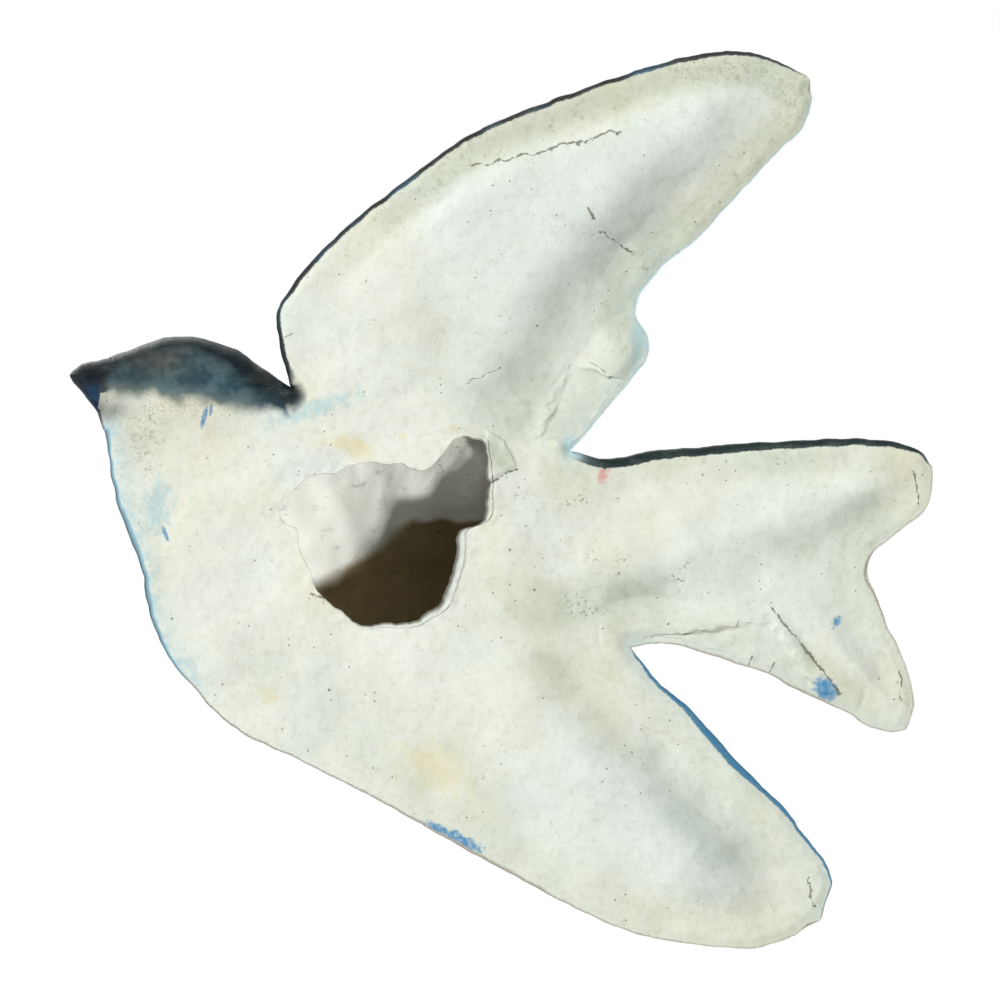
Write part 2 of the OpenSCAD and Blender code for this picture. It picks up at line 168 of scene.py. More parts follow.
def mix(a, b, t):
    """a at t = 0 and b at t = 1, along a straight line."""
    return a + (b - a) * t


def blend(a, b, k):
    """The higher of a and b, with the crease filled over k: half of a + b + sqrt((a - b)² + k²)."""
    return (a + b + np.sqrt((a - b) ** 2 + k * k)) / 2


def bell(t):
    """exp(-t²): 1 at t = 0, falling away on both sides."""
    return np.exp(-t * t)


def along(points, t):
    """Catmull-Rom curve through points, at t from 0 to 1, for t of any shape."""
    p = np.asarray(points, float)
    n = len(p) - 1
    u = unit(np.asarray(t, float)) * n
    i = np.minimum(u.astype(int), n - 1)
    f = (u - i)[..., None]
    a, b, c, d = p[np.maximum(i - 1, 0)], p[i], p[i + 1], p[np.minimum(i + 2, n)]
    return 0.5 * (2 * b + (c - a) * f + (2 * a - 5 * b + 4 * c - d) * f**2 + (3 * b - a - 3 * c + d) * f**3)


def around(points, t):
    """Closed Catmull-Rom curve through points, at t counted in points."""
    p = np.asarray(points, float)
    n = len(p)
    i = np.floor(t).astype(int)
    f = (t - i)[..., None]
    a, b, c, d = p[(i - 1) % n], p[i % n], p[(i + 1) % n], p[(i + 2) % n]
    return 0.5 * (2 * b + (c - a) * f + (2 * a - 5 * b + 4 * c - d) * f**2 + (3 * b - a - 3 * c + d) * f**3)


def ripple(q, size, seed, waves=16):
    """Smooth random field of about -1 to 1: a sum of sines that run across q in random directions,
    with wavelengths near size."""
    rng = np.random.default_rng(seed)
    turn = rng.uniform(0, 2 * math.pi, waves)
    pitch = 2 * math.pi / (size * rng.uniform(0.7, 1.6, waves))
    start = rng.uniform(0, 2 * math.pi, waves)
    total = np.zeros(q.shape[:-1])
    for k in range(waves):
        run = q[..., 0] * math.cos(turn[k]) + q[..., 1] * math.sin(turn[k])
        total += np.sin(pitch[k] * run + start[k])
    return total * 1.2 / math.sqrt(waves)


def wing_place(lead, trail, bow, s, c):
    """Place on a wing: c of the way from its leading to its trailing edge, s of the way to its tip,
    with the root's chord bowed by bow and the tip rounded."""
    q = mix(along(lead, s), along(trail, s), c[..., None])
    root = ((1 - s) ** 4 * 4 * c * (1 - c))[..., None] * bow
    tip = (smooth((s - 0.9) / 0.1) * 4 * c * (1 - c))[..., None]
    bulge = np.array([-1.2, 0.7 if bow[1] > 0 else -0.5])
    return q + root + tip * bulge


def tail_place(s, c):
    """Place on the tail: c of the way from its upper to its lower edge, s of the way to its end,
    where the chord bends into the fork with the cube of s."""
    end = along(TAIL_END, c) - mix(np.array(TAIL_TOP[-1]), np.array(TAIL_LOW[-1]), c[..., None])
    return mix(along(TAIL_TOP, s), along(TAIL_LOW, s), c[..., None]) + (s**3)[..., None] * end


def head_place(s, c):
    """Place on the head: s from the beak to the neck, c from the crown to the throat."""
    t = c[..., None]
    face = np.where(t < CHEEK, mix(np.array(BEAK_ROOT), np.array(CHIN), t / CHEEK),
                    mix(np.array(CHIN), np.array(THROAT), (t - CHEEK) / (1 - CHEEK)))
    flat = mix(np.array(THROAT), np.array(NECK, float), s[..., None])
    straight = mix(np.array(BEAK_ROOT), np.array(THROAT), t)
    return mix(along(CROWN_EDGE, s), flat, t) + ((1 - s) ** 6)[..., None] * (face - straight)


def beak_place(s, c):
    """Place on the beak: s from the face to the point, c from its upper to its lower edge."""
    return mix(along(BEAK_TOP, s), along(BEAK_LOW, s), c[..., None])


# Width of the paint that shows past the back's rim, at even steps along each edge
STRIPS = {
    "crown": (CROWN_EDGE, [2.6, 2.6]),
    "upper_lead": (UPPER_LEAD, [1.5, 1.0, 1.3, 1.2, 1.3, 1.2, 1.4, 1.2, 1.3, 1.1, 0.6, 0.3]),
    "upper_trail": (UPPER_TRAIL, [0.5, 0.3, 0.3, 0.6, 0.5, 0.4, 0.3, 0.3, 0.3, 0.3, 0.3, 0.3]),
    "upper_tip": ([UPPER_LEAD[-1], [-85.5, 88], UPPER_TRAIL[-1]], [0.3, 0.3]),
    "lower_lead": (LOWER_LEAD, [0.5, 0.5, 0.4, 0.5, 0.6, 0.8, 0.4, 0.4, 0.3, 0.3, 0.3, 0.3]),
    "lower_trail": (LOWER_TRAIL, [0.5, 0.8, 1.1, 1.9, 1.9, 1.1, 1.0, 0.8, 0.6, 0.5, 0.3, 0.3]),
    "lower_tip": ([LOWER_LEAD[-1], [-88, -121.8], LOWER_TRAIL[-1]], [0.3, 0.3]),
    "tail_top": (TAIL_TOP, [1.5, 2.6, 2.4, 2.3, 2.1, 2.0, 1.8, 1.7, 1.5, 0.9, 0.4]),
    "tail_low": (TAIL_LOW, [0.3, 0.4, 0.5, 0.5, 0.4, 0.6, 0.4, 0.3, 0.3, 0.3, 0.3]),
    "tail_end": (TAIL_END, [0.4, 0.3, 0.3, 0.4, 0.4, 0.3, 0.4, 0.4, 0.3, 0.3, 0.3, 0.3]),
    "breast": (BREAST_EDGE, [0.5, 0.7, 1.2, 1.6, 1.4, 1.6, 1.3, 1.0, 0.8, 1.4]),
    "beak_top": (BEAK_TOP, [1.0, 1.0]),
    "beak_low": (BEAK_LOW, [1.0, 1.0]),
    "chin": ([CHIN, THROAT], [0.8, 0.8]),
}
STEPS_PER_POINT = 6


def edge_distances(q):
    """Distance from each place of q to each edge of the outline, and the paint's width at the nearest
    edge. Each edge is a curve cut into straight stretches, and a distance is the shortest to any of
    them."""
    flat = q.reshape(-1, 2)
    away, width = {}, {}
    for name, (points, widths) in STRIPS.items():
        count = max(2, STEPS_PER_POINT * (len(points) - 1))
        line = along(points, np.linspace(0, 1, count + 1))
        a, ab = line[:-1], line[1:] - line[:-1]
        t = (flat[:, None, 0] - a[:, 0]) * ab[:, 0] + (flat[:, None, 1] - a[:, 1]) * ab[:, 1]
        t = unit(t / (ab**2).sum(1))
        gap = ((flat[:, None, 0] - a[:, 0] - ab[:, 0] * t) ** 2
               + (flat[:, None, 1] - a[:, 1] - ab[:, 1] * t) ** 2)
        k = gap.argmin(1)
        rows = np.arange(len(flat))
        here = (k + t[rows, k]) / count
        away[name] = np.sqrt(gap[rows, k]).reshape(q.shape[:-1])
        width[name] = np.interp(here, np.linspace(0, 1, len(widths)), widths).reshape(q.shape[:-1])
    names = list(STRIPS)
    every = np.stack([away[n] for n in names])
    nearest = every.argmin(0)
    strip = np.take_along_axis(np.stack([width[n] for n in names]), nearest[None], 0)[0]
    away["outline"] = every.min(0)
    return away, strip


def stretches(q, line):
    """For each stretch of a line of [x, z, value, width]: the value at its nearest place to q, and q's
    distance from there in widths."""
    line = np.asarray(line, float)
    for a, b in zip(line[:-1], line[1:]):
        ab = b[:2] - a[:2]
        t = unit(((q - a[:2]) @ ab) / (ab @ ab))
        gap = np.hypot(q[..., 0] - a[0] - ab[0] * t, q[..., 1] - a[1] - ab[1] * t)
        yield mix(a[2], b[2], t), gap / mix(a[3], b[3], t)


def arch(q, ridge, bend):
    """Height at q of a ridge: its height at the nearest place of its crest, times (1 - d²) to the
    power bend, where d is the distance from there in half widths."""
    top = np.zeros(q.shape[:-1])
    for crest, d in stretches(q, ridge):
        top = np.maximum(top, crest * np.maximum(0, 1 - d * d) ** bend)
    return top


def headness(q):
    """1 on the head and 0 on the rest, from the distance to a line along the head's middle."""
    away = np.hypot(np.maximum(np.maximum(q[..., 0] - 96, 66 - q[..., 0]), 0), q[..., 1] - 12)
    return smooth((20 - away) / 9) * smooth(q[..., 1] / 8)


def front_height(q, d):
    """Height of the moulded front: the ridges of body, wings and tail blended together, and rounded
    down to the edge's height at the outline."""
    edge = mix(EDGE_H, CROWN_H, headness(q))
    body_part = smooth(arch(q, BODY_RIDGE, 0.5) / BELLY_H * 2)
    radius = mix(8, 15, np.maximum(body_part, headness(q)))
    wings = np.maximum(arch(q, UPPER_RIDGE, 0.5), arch(q, LOWER_RIDGE, 0.5))
    body = np.maximum(arch(q, BODY_RIDGE, 0.6), arch(q, BEAK_RIDGE, 0.5))
    top = blend(blend(wings, arch(q, TAIL_RIDGE, 0.5), 3), body, 4)
    return edge + np.maximum(0, top - edge) * rounded(d / radius)


def trough(q, line):
    """Share of a dish's depth at q: its line's share at the nearest place, times exp(-d²), where d is
    the distance from there in widths. Stretches of the line run into one another."""
    depth = np.zeros(q.shape[:-1])
    for share, d in stretches(q, line):
        depth = np.maximum(depth, share * bell(d))
    return depth


def dish_depth(q, d):
    """Depth of all dishes together, which begins on the inner side of the flat land at the rim."""
    wings = WING_DISH * sum(trough(q, line) for line in WING_DISHES)
    return (wings + TAIL_DISH * sum(trough(q, line) for line in TAIL_DISHES)) * smooth((d - LAND) / RAMP)


def back_height(q, d, strip):
    """Height of the back: flat land round shallow dishes, beds for the smears that end before the
    outline, the head's back curving away from the wall, and the flared rim that carries the painted
    strip."""
    edge = mix(EDGE_H, CROWN_H, headness(q))
    rise = (edge - 1.2) * headness(q) * (1 - rounded(d / 16))
    beds = np.maximum(arch(q, WING_BED, 1.2), arch(q, TAIL_BED, 0.5)) * smooth((d - 0.7) / 4)
    low = np.maximum(dish_depth(q, d), beds)
    uneven = 0.16 * ripple(q, 22, 11) + 0.08 * ripple(q, 9, 12) + 0.025 * ripple(q, 3.2, 13)
    base = rise + low + (uneven + 0.4) * smooth(d / 3)
    flare = np.minimum(strip, 2.6)
    climb = np.minimum(edge - LIP - base, 1.1 * flare)
    return base + climb * (1 - rounded(d / flare))


# Painted shade along the dishes' far flanks, the valleys and a crease, with some dust: x, z, strength, width
SHADE_AND_DUST = [
    [[-11, 7, 0.9, 8], [-19, 24, 0.5, 8], [-34, 47, 0.5, 8], [-50, 62, 0.35, 7]],
    [[-13, -46, 0.35, 7], [-26, -45, 0.9, 6.5], [-46, -38, 0.7, 5.5]],
    [[-20, -58, 0.5, 6], [-38, -79, 0.35, 7], [-52, -92, 0.5, 8], [-66, -106, 0.6, 7]],
    [[-70, -31, 0.3, 6], [-86, -27, 0.5, 5], [-100, -20, 0.4, 5]],
    [[52, -56, 0.3, 10], [22, -76, 0.4, 12], [-4, -92, 0.3, 10]],
    [[-2, 12, 0.3, 12], [12, 24, 0.25, 12]],
    [[84, -2, 0.5, 5], [72, 3, 0.35, 5], [50, 2, 0.3, 5]],
    [[-6.5, -5, 0.6, 3.2], [-9.5, -8, 0.6, 3.2]],
    # Painted shade beside the crack on the tail's smear
    [[-78.5, -46.5, 0.5, 1.4], [-86, -57.5, 0.7, 1.4]],
]


def make_mesh(name, points, quads, tris, values, tint):
    """Mesh object from points in millimetres, with smooth shading that breaks at sharp angles. Each
    of values becomes a vertex attribute, and tint a colour attribute."""
    mesh = bpy.data.meshes.new(name)
    count = len(quads) * 4 + len(tris) * 3
    mesh.vertices.add(len(points))
    mesh.vertices.foreach_set("co", (points * MM).astype(np.float32).ravel())
    mesh.loops.add(count)
    mesh.loops.foreach_set("vertex_index", np.concatenate([quads.ravel(), tris.ravel()]).astype(np.int32))
    mesh.polygons.add(len(quads) + len(tris))
    starts = np.concatenate([np.arange(len(quads)) * 4, len(quads) * 4 + np.arange(len(tris)) * 3])
    totals = np.concatenate([np.full(len(quads), 4), np.full(len(tris), 3)])
    mesh.polygons.foreach_set("loop_start", starts.astype(np.int32))
    mesh.polygons.foreach_set("loop_total", totals.astype(np.int32))
    mesh.polygons.foreach_set("use_smooth", np.ones(len(starts), bool))
    mesh.update(calc_edges=True)
    mesh.set_sharp_from_angle(angle=math.radians(48))
    for key, value in values.items():
        numbers = mesh.attributes.new(key, "FLOAT", "POINT").data
        numbers.foreach_set("value", value.astype(np.float32).ravel())
    rgba = np.concatenate([tint, np.ones((len(tint), 1))], 1)
    colours = mesh.attributes.new("tint", "FLOAT_COLOR", "POINT").data
    colours.foreach_set("color", rgba.astype(np.float32).ravel())
    piece = bpy.data.objects.new(name, mesh)
    bpy.context.scene.collection.objects.link(piece)
    return piece


def grid_quads(m, n, start=0, wrap=False):
    """Quads of a grid of m rows of n points, where wrap joins each row's end to its beginning."""
    i, j = np.meshgrid(np.arange(m - 1), np.arange(n if wrap else n - 1), indexing="ij")
    a = i * n + j
    b = i * n + (j + 1) % n
    return np.stack([a, b, b + n, a + n], -1).reshape(-1, 4) + start


NO_TRIANGLES = np.zeros((0, 3), int)


def strip_quads(a, b):
    """Quads between two lines of points of equal length."""
    return np.stack([a[:-1], b[:-1], b[1:], a[1:]], -1)


def slab_quads(m, n):
    """Quads of a closed slab over a grid of m rows of n points: the front, the back, whose points come
    after those of the front, and a strip along each of the four sides."""
    k = m * n
    first = np.arange(n)
    left = np.arange(m) * n
    last, right = first + (m - 1) * n, left + n - 1
    return np.concatenate([
        grid_quads(m, n), grid_quads(m, n, k)[:, ::-1],
        strip_quads(first, first + k)[:, ::-1][:, [1, 2, 3, 0]], strip_quads(last, last + k),
        strip_quads(left, left + k), strip_quads(right, right + k)[:, ::-1],
    ])


def outward(points, quads, tris):
    """The faces, all turned over if they enclose a negative volume. The volume is a sixth of the sum
    of a·(b × c) over the triangles."""
    split = np.concatenate([quads[:, :3], quads[:, [0, 2, 3]], tris])
    a, b, c = points[split[:, 0]], points[split[:, 1]], points[split[:, 2]]
    if (a * np.cross(b, c)).sum() < 0:
        return quads[:, ::-1], tris[:, ::-1]
    return quads, tris


def crowded(n, share):
    """n + 1 steps from 0 to 1 that crowd towards both ends: a mix of even and cosine steps."""
    t = np.linspace(0, 1, n + 1)
    return mix(t, (1 - np.cos(math.pi * t)) / 2, share)


def wobble(q):
    """The small unevenness of an edge made by hand: each place slips sideways by a smooth random
    field of about 0.1 mm."""
    slip = np.stack([ripple(q, 7, 21), ripple(q, 7, 22)], -1) * 0.1
    return q + slip + np.stack([ripple(q, 2.4, 23), ripple(q, 2.4, 24)], -1) * 0.035


def srgb(r, g, b):
    """Linear colour of an 0 to 255 display colour."""
    v = np.array([r, g, b]) / 255
    return np.where(v <= 0.04045, v / 12.92, ((v + 0.055) / 1.055) ** 2.4)


SKY = srgb(104, 165, 203)
STEEL = srgb(62, 122, 158)
CYAN = srgb(158, 203, 220)
TEAL = srgb(44, 82, 98)
CHARCOAL = srgb(58, 60, 58)
BLACK_GREEN = srgb(30, 44, 45)
PEACH = srgb(228, 166, 132)
CREAM = srgb(236, 224, 198)
PINK = srgb(232, 205, 192)
NAVY = srgb(18, 40, 66)
EYE_BLACK = srgb(10, 10, 12)
EYE_WHITE = srgb(240, 240, 236)
WORN_EDGES = ("tail_end", "tail_low", "lower_lead", "upper_tip", "lower_tip")


def cap_edge(x):
    """Height z of the lower edge of the head's paint: a straight line that rises to the beak."""
    return mix(4.0, 10.2, (x - 44) / 49)


def paint_tint(q, away, groove, front):
    """Colour of the sprayed paint: sky blue, airbrushed to dark along the crown, the wing's leading
    edge and the top of the tail, to steel on the lower wing, and to peach on the breast. The front
    has the eye. The back has worn edges and a smoky cap on the head. Each spray fades with the
    bell of its distance from an edge or a centre."""
    def spray(colour, under, amount):
        return mix(under, colour, unit(amount)[..., None])
    x, z = q[..., 0], q[..., 1]
    cloud = 1 + 0.18 * ripple(q, 14, 31)
    tint = np.broadcast_to(SKY, q.shape[:-1] + (3,)).copy()
    tint = spray(STEEL, tint, smooth((-55 - z) / 30) * 0.75)
    tint = spray(CYAN, tint, bell(away["breast"] / 14) * 0.9)
    tint = spray(CYAN, tint, bell(away["upper_trail"] / 5) * 0.8)
    tint = spray(CREAM, tint, bell(np.hypot((x - 44) / 36, (z + 42) / 18)) * cloud)
    tint = spray(PEACH, tint, bell(np.hypot((x - 68) / 17, (z + 20) / 20)) * 0.95 * cloud)
    tint = spray(STEEL, tint, bell(away["lower_trail"] / 6))
    tint = spray(TEAL, tint, bell(away["lower_lead"] / 3) * 0.35)
    tint = spray(TEAL, tint, groove * 0.6)
    tint = spray(TEAL, tint, bell(np.maximum(0, away["crown"] - 4) / 9) * 0.95 * cloud)
    tint = spray(mix(TEAL, STEEL, 0.25), tint, headness(q) * smooth((z - 1) / 5) * 1.2)
    dark = mix(CHARCOAL, TEAL, smooth((76 - x) / 26)[..., None])
    tint = spray(dark, tint, bell(np.maximum(0, away["crown"] - 6) / 6))
    tint = spray(BLACK_GREEN, tint, bell(away["crown"] / 2.2) * 0.7)
    tint = spray(PINK, tint, bell(np.hypot((x - 94) / 6, (z + 0.5) / 6.5)) * 1.1)
    tint = spray(NAVY, tint, smooth((x - 90.5) / 4) * smooth((z - 4.5) / 4))
    tint = spray(CHARCOAL, tint, bell(away["upper_lead"] / 5) * cloud)
    tint = spray(BLACK_GREEN, tint, bell(away["tail_top"] / 6) * 1.2)
    tint = spray(TEAL, tint, bell(away["tail_end"] / 5) * 0.5 * cloud)
    if front:
        r = np.hypot(x - EYE[0], z - EYE[1])
        glint = np.hypot(x - EYE[0] - 0.7, z - EYE[1] - 0.8)
        tint = spray(CREAM, tint, bell((r - 2.9) / 0.7) * 0.8)
        tint = spray(EYE_BLACK, tint, smooth((2.5 - r) / 0.3))
        return spray(EYE_WHITE, tint, smooth((0.75 - glint) / 0.3))
    worn = np.minimum.reduce([away[n] for n in WORN_EDGES])
    tint = spray(CYAN, tint, bell(away["breast"] / 3))
    tint = spray(srgb(186, 212, 214), tint, bell(away["upper_trail"] / 3) * 1.5)
    tint = spray(srgb(188, 182, 166), tint, bell(worn / 1.5) * 1.2)
    smoky = smooth(0.5 + 0.5 * ripple(q * np.array([0.7, 1.3]), 8, 33) + 0.25 * ripple(q, 2.5, 34))
    cap = headness(q) * smooth((91 - x) / 2)
    tint = spray(srgb(58, 92, 104), tint, cap * 0.85)
    tint = spray(srgb(98, 122, 124), tint, cap * smoky * 0.45)
    tint = spray(srgb(104, 106, 98), tint, bell(np.hypot((x - 77) / 9, (z - 18) / 4)) * cap)
    tint = spray(srgb(40, 62, 68), tint, cap * (1 - smoky) * 0.5)
    tint = spray(srgb(132, 142, 132), tint, cap * bell((z - cap_edge(x) - 0.3) / 2.4) * 0.6)
    tint = spray(srgb(17, 30, 34), tint, bell(away["crown"] / mix(5.0, 2.2, smooth((x - 56) / 18))) * 1.6)
    tint = spray(srgb(18, 28, 36), tint, smooth((x - 85.5) / 6) * smooth((z - 11 + (x - 90) * 0.3) / 4))
    under_beak = smooth((x - 90.5) / 2) * smooth((13 - z) / 4) * smooth((98 - x) / 4)
    return spray(srgb(20, 64, 102), tint, under_beak)


def rim_values(q, away, strip, front):
    """Vertex values for the finish: rim is how far a place lies inside the paint, in millimetres,
    soft the width over which the paint fades out, inset the distance from the outline."""
    inset = away["outline"]
    x, z = q[..., 0], q[..., 1]
    near_neck = 3.9 - np.hypot(x - NECK[0] - 0.9, z - NECK[1] + 2)
    border = cap_edge(x) + 0.5 * ripple(q, 12, 35) + 0.25 * ripple(q, 4, 36)
    cap = np.minimum(z - border, 2 * (x - NECK[0] - 0.5 - 1.2 * np.maximum(0, z - NECK[1])))
    on_beak = x - 90.2 - (19 - z) * 0.172
    rim = np.maximum.reduce([strip - inset, near_neck, cap, on_beak])
    if front:
        rim = np.full(inset.shape, 6.0)
    softness = np.maximum(smooth((cap + 6) / 4) * smooth((91 - x) / 3), smooth((near_neck + 4) / 4))
    return {"rim": rim, "soft": mix(0.22, 2.1, softness), "inset": inset,
            "front": np.full(inset.shape, float(front))}


def layer_values(q, away, strip, front, relief, groove, barb):
    """All vertex values and the paint's colour for one side of a piece. Haze is blue overspray near
    the edges, cool a blue-grey painted shade that deepens with the dishes, shade a painted shadow in
    the hollow below a slanting brink, grime dirt with some painted shade on the land near the
    outline, and dull painted shade with some dust, greyer towards the tail."""
    values = rim_values(q, away, strip, front)
    values["groove"] = groove
    values["relief"] = relief
    values["barb"] = barb
    x, z = q[..., 0], q[..., 1]
    haze = 0.9 * bell(away["breast"] / 4.5) + 0.45 * bell(away["upper_trail"] / 5) * smooth((x + 52) / 8)
    values["haze"] = unit(haze + 0.35 * bell(away["lower_trail"] / 3) + 0.3 * bell(away["tail_low"] / 3))
    # A blue-grey painted shade that deepens with the dishes
    values["cool"] = unit(dish_depth(q, away["outline"]) / 4)
    # Painted shadow in the lower hollow: brown below a slanting brink, with a crisp edge near the notch
    brink = -22.5 - 0.72 * np.maximum(0, x - 14) + 0.5 * ripple(q, 9, 55)
    values["shade"] = smooth(0.5 + (brink - z) / mix(1.5, 5, smooth((x - 8) / 14)))
    # Dirt with some painted shade on the land near the outline, stronger towards the top
    land = smooth((11 - away["outline"]) / 5) * mix(0.25, 1, smooth((40 - x) / 30))
    values["grime_and_shade"] = land * smooth((away["breast"] - 4) / 10) * mix(0.35, 1, smooth((z - 5) / 30))
    # Painted shade with some dust: greyer towards the tail, and along the listed lines
    values["shade_and_dust"] = unit(0.3 * smooth((25 - x) / 50) + 0.1 * smooth((-60 - x) / 20)
                          + sum(trough(q, line) for line in SHADE_AND_DUST))
    return values, paint_tint(q, away, groove, front)


def flat_set(parts):
    """The values of several sides, one after the other, as flat arrays."""
    keys = parts[0][0].keys()
    values = {k: np.concatenate([p[0][k].ravel() for p in parts]) for k in keys}
    return values, np.concatenate([p[1].reshape(-1, 3) for p in parts])


def solid_points(q, height):
    """Points (x, -height, z) of a grid of places."""
    return np.stack([q[..., 0], -height, q[..., 1]], -1).reshape(-1, 3)


def slab(name, q, free, relief, groove, barb):
    """Closed slab over the grid q: the moulded front, raised by relief, the back, and a strip round
    all four sides. free names the sides of the grid that lie on the outline, where the distance to
    the outline is exactly 0."""
    away, strip = edge_distances(q)
    inset = away["outline"]
    for side in free:
        inset[{"first": np.s_[0], "last": np.s_[-1], "left": np.s_[:, 0], "right": np.s_[:, -1]}[side]] = 0
    front = front_height(q, inset) + relief * smooth(inset / 2.5)
    back = back_height(q, inset, strip)
    placed = wobble(q)
    points = np.concatenate([solid_points(placed, front), solid_points(placed, back)])
    quads, tris = outward(points, slab_quads(*inset.shape), NO_TRIANGLES)
    values, tint = flat_set([layer_values(q, away, strip, True, relief, groove, barb),
                             layer_values(q, away, strip, False, relief * 0, groove * 0, barb * 0)])
    return make_mesh(name, points, quads, tris, values, tint)


def feather_tier(f, width):
    """One row of feathers side by side, where f counts them across: each vane climbs by half a
    millimetre to the next one's edge, and has a shaft along its middle. Returns height and groove."""
    part = f % 1
    step = 0.12
    vane = np.where(part < 1 - step, part / (1 - step), (1 - part) / step)
    shaft = 0.2 * bell((part - 0.42) * width / 0.45)
    line = bell((part - 1) * width / 0.9) + bell(part * width / 0.6)
    return 0.55 * vane + shaft, unit(line)


SWEEP = 0.42
WING_TIERS = ((0.0, 13, 0.0), (0.55, 17, 0.8), (0.33, 24, 1.5))


def wing_feathers(s, c, chord, length):
    """Three rows of feathers on a wing, each lying on the next towards the trailing edge like slates.
    A feather keeps to a line that slants towards the tip by SWEEP, and a row ends in round tongues."""
    relief = np.zeros(s.shape)
    groove = np.zeros(s.shape)
    barb = np.zeros(s.shape)
    for end, count, lift in WING_TIERS:
        f = count * (s - SWEEP * c) + 40
        width = length / count
        height, line = feather_tier(f, width)
        part = f % 1
        tongue = end + 0.07 * (np.sqrt(1 - (2 * part - 1) ** 2) - 0.6) * 60 / np.maximum(chord, 30)
        over = smooth((tongue - c) * chord / 1.0) if end else np.ones(s.shape)
        tip = bell((tongue - c) * chord / 0.9) if end else np.zeros(s.shape)
        run = c * chord + np.abs(part - 0.42) * width * 1.1
        relief = mix(relief, height + lift, over)
        groove = np.maximum(groove * (1 - over), np.maximum(line * over, tip))
        barb = np.where(over > 0.5, run, barb)
    fade = smooth((s - 0.05) / 0.12)
    return relief * fade, groove * fade, barb


def tail_feathers(s, c):
    """Long tail feathers from the root to the end, the middle ones on top, under a short row of
    coverts."""
    side = np.where(c < FORK, (FORK - c) / FORK, (c - FORK) / (1 - FORK))
    height, line = feather_tier(5 * side + 0.5, 8.0)
    run = s * 88 + np.abs((5 * side + 0.5) % 1 - 0.42) * 9
    f = 7 * side + 0.5
    cover, cover_line = feather_tier(f, 6.0)
    tongue = 0.26 + 0.09 * (np.sqrt(1 - (2 * (f % 1) - 1) ** 2) - 0.6)
    over = smooth((tongue - s) * 88 / 1.2)
    relief = mix(height, cover + 0.9, over)
    groove = np.maximum(line * (1 - over), np.maximum(cover_line * over, bell((tongue - s) * 88 / 0.9)))
    fade = smooth((s - 0.02) / 0.1)
    return relief * fade, groove * fade, run


def body_scales(q):
    """Small overlapping breast feathers: rows of round scales along the body's axis, each row under
    the one nearer the head."""
    axis = np.array([-0.94, -0.34])
    u = (q - np.array([75.0, 10.0])) @ axis
    v = (q - np.array([75.0, 10.0])) @ np.array([-axis[1], axis[0]])
    size, row, radius = 6.4, 4.3, 4.1
    relief = np.zeros(u.shape)
    groove = np.zeros(u.shape)
    for k in (1, 0, -1):
        j = np.floor(u / row) + k
        across = v / size + 0.5 * (j % 2)
        dx = u - j * row
        dy = (across - np.floor(across) - 0.5) * size
        gap = radius - np.hypot(dx, dy)
        over = smooth(gap / 0.9)
        relief = mix(relief, 0.25 + 0.25 * dx / radius, over)
        groove = np.maximum(groove * (1 - over), bell(gap / 0.7) * (dx > 0))
    return relief, groove


EYE = np.array([82.0, 13.0])


def head_relief(q):
    """The eye, a low dome in a shallow ring, and the line where the beak closes."""
    r = np.hypot(q[..., 0] - EYE[0], q[..., 1] - EYE[1])
    eye = 1.1 * np.sqrt(np.maximum(0, 1 - (r / 2.4) ** 2)) - 0.5 * bell((r - 3.0) / 0.6)
    gape = np.abs(q[..., 1] - (10.5 + (q[..., 0] - 88) * 0.31))
    cut = -0.5 * bell(gape / 0.5) * smooth((q[..., 0] - 86) / 3)
    return eye + cut, unit(bell((r - 3.0) / 0.7) + bell(gape / 0.6) * smooth((q[..., 0] - 86) / 3))


WING_LENGTH = 165.0


def wing(name, lead, trail, bow):
    """A wing on a grid of s by c, with its feathers."""
    t = np.linspace(0, 1, WING_ROWS + 1)
    s, c = np.meshgrid(mix(t, np.sin(t * math.pi / 2), 0.5), crowded(WING_COLS, 0.85), indexing="ij")
    q = wing_place(lead, trail, bow, s, c)
    chord = np.linalg.norm(along(lead, s) - along(trail, s), axis=-1)
    return slab(name, q, ("last", "left", "right"), *wing_feathers(s, c, chord, WING_LENGTH))


def tail_lobe(name, c0, c1, cols):
    """One lobe of the tail, from c0 to c1 across it."""
    t = np.linspace(0, 1, TAIL_ROWS + 1)
    rows = mix(t, np.sin(t * math.pi / 2), 0.6)
    s, c = np.meshgrid(rows, mix(c0, c1, crowded(cols, 0.8)), indexing="ij")
    free = ("last", "left") if c0 == 0 else ("last", "right")
    return slab(name, tail_place(s, c), free, *tail_feathers(s, c))


def head():
    """The head, from the beak's root to the neck."""
    s, c = np.meshgrid(crowded(HEAD_ROWS, 0.4) * 0.995, crowded(HEAD_COLS, 0.8), indexing="ij")
    q = head_place(s, c)
    relief, groove = head_relief(q)
    scales, edges = body_scales(q)
    soft = smooth(c * 2 - 0.6)
    relief = relief + scales * soft * 0.6
    return slab("head_cast", q, ("left",), relief, np.maximum(groove, edges * soft * 0.5), groove * 0)


def beak():
    """The beak, from the face to its point."""
    s, c = np.meshgrid(crowded(BEAK_ROWS, 0.4), crowded(BEAK_COLS, 0.8), indexing="ij")
    q = beak_place(s, c)
    relief, groove = head_relief(q)
    return slab("beak_cast", q, ("left", "right", "last"), relief, groove, groove * 0)


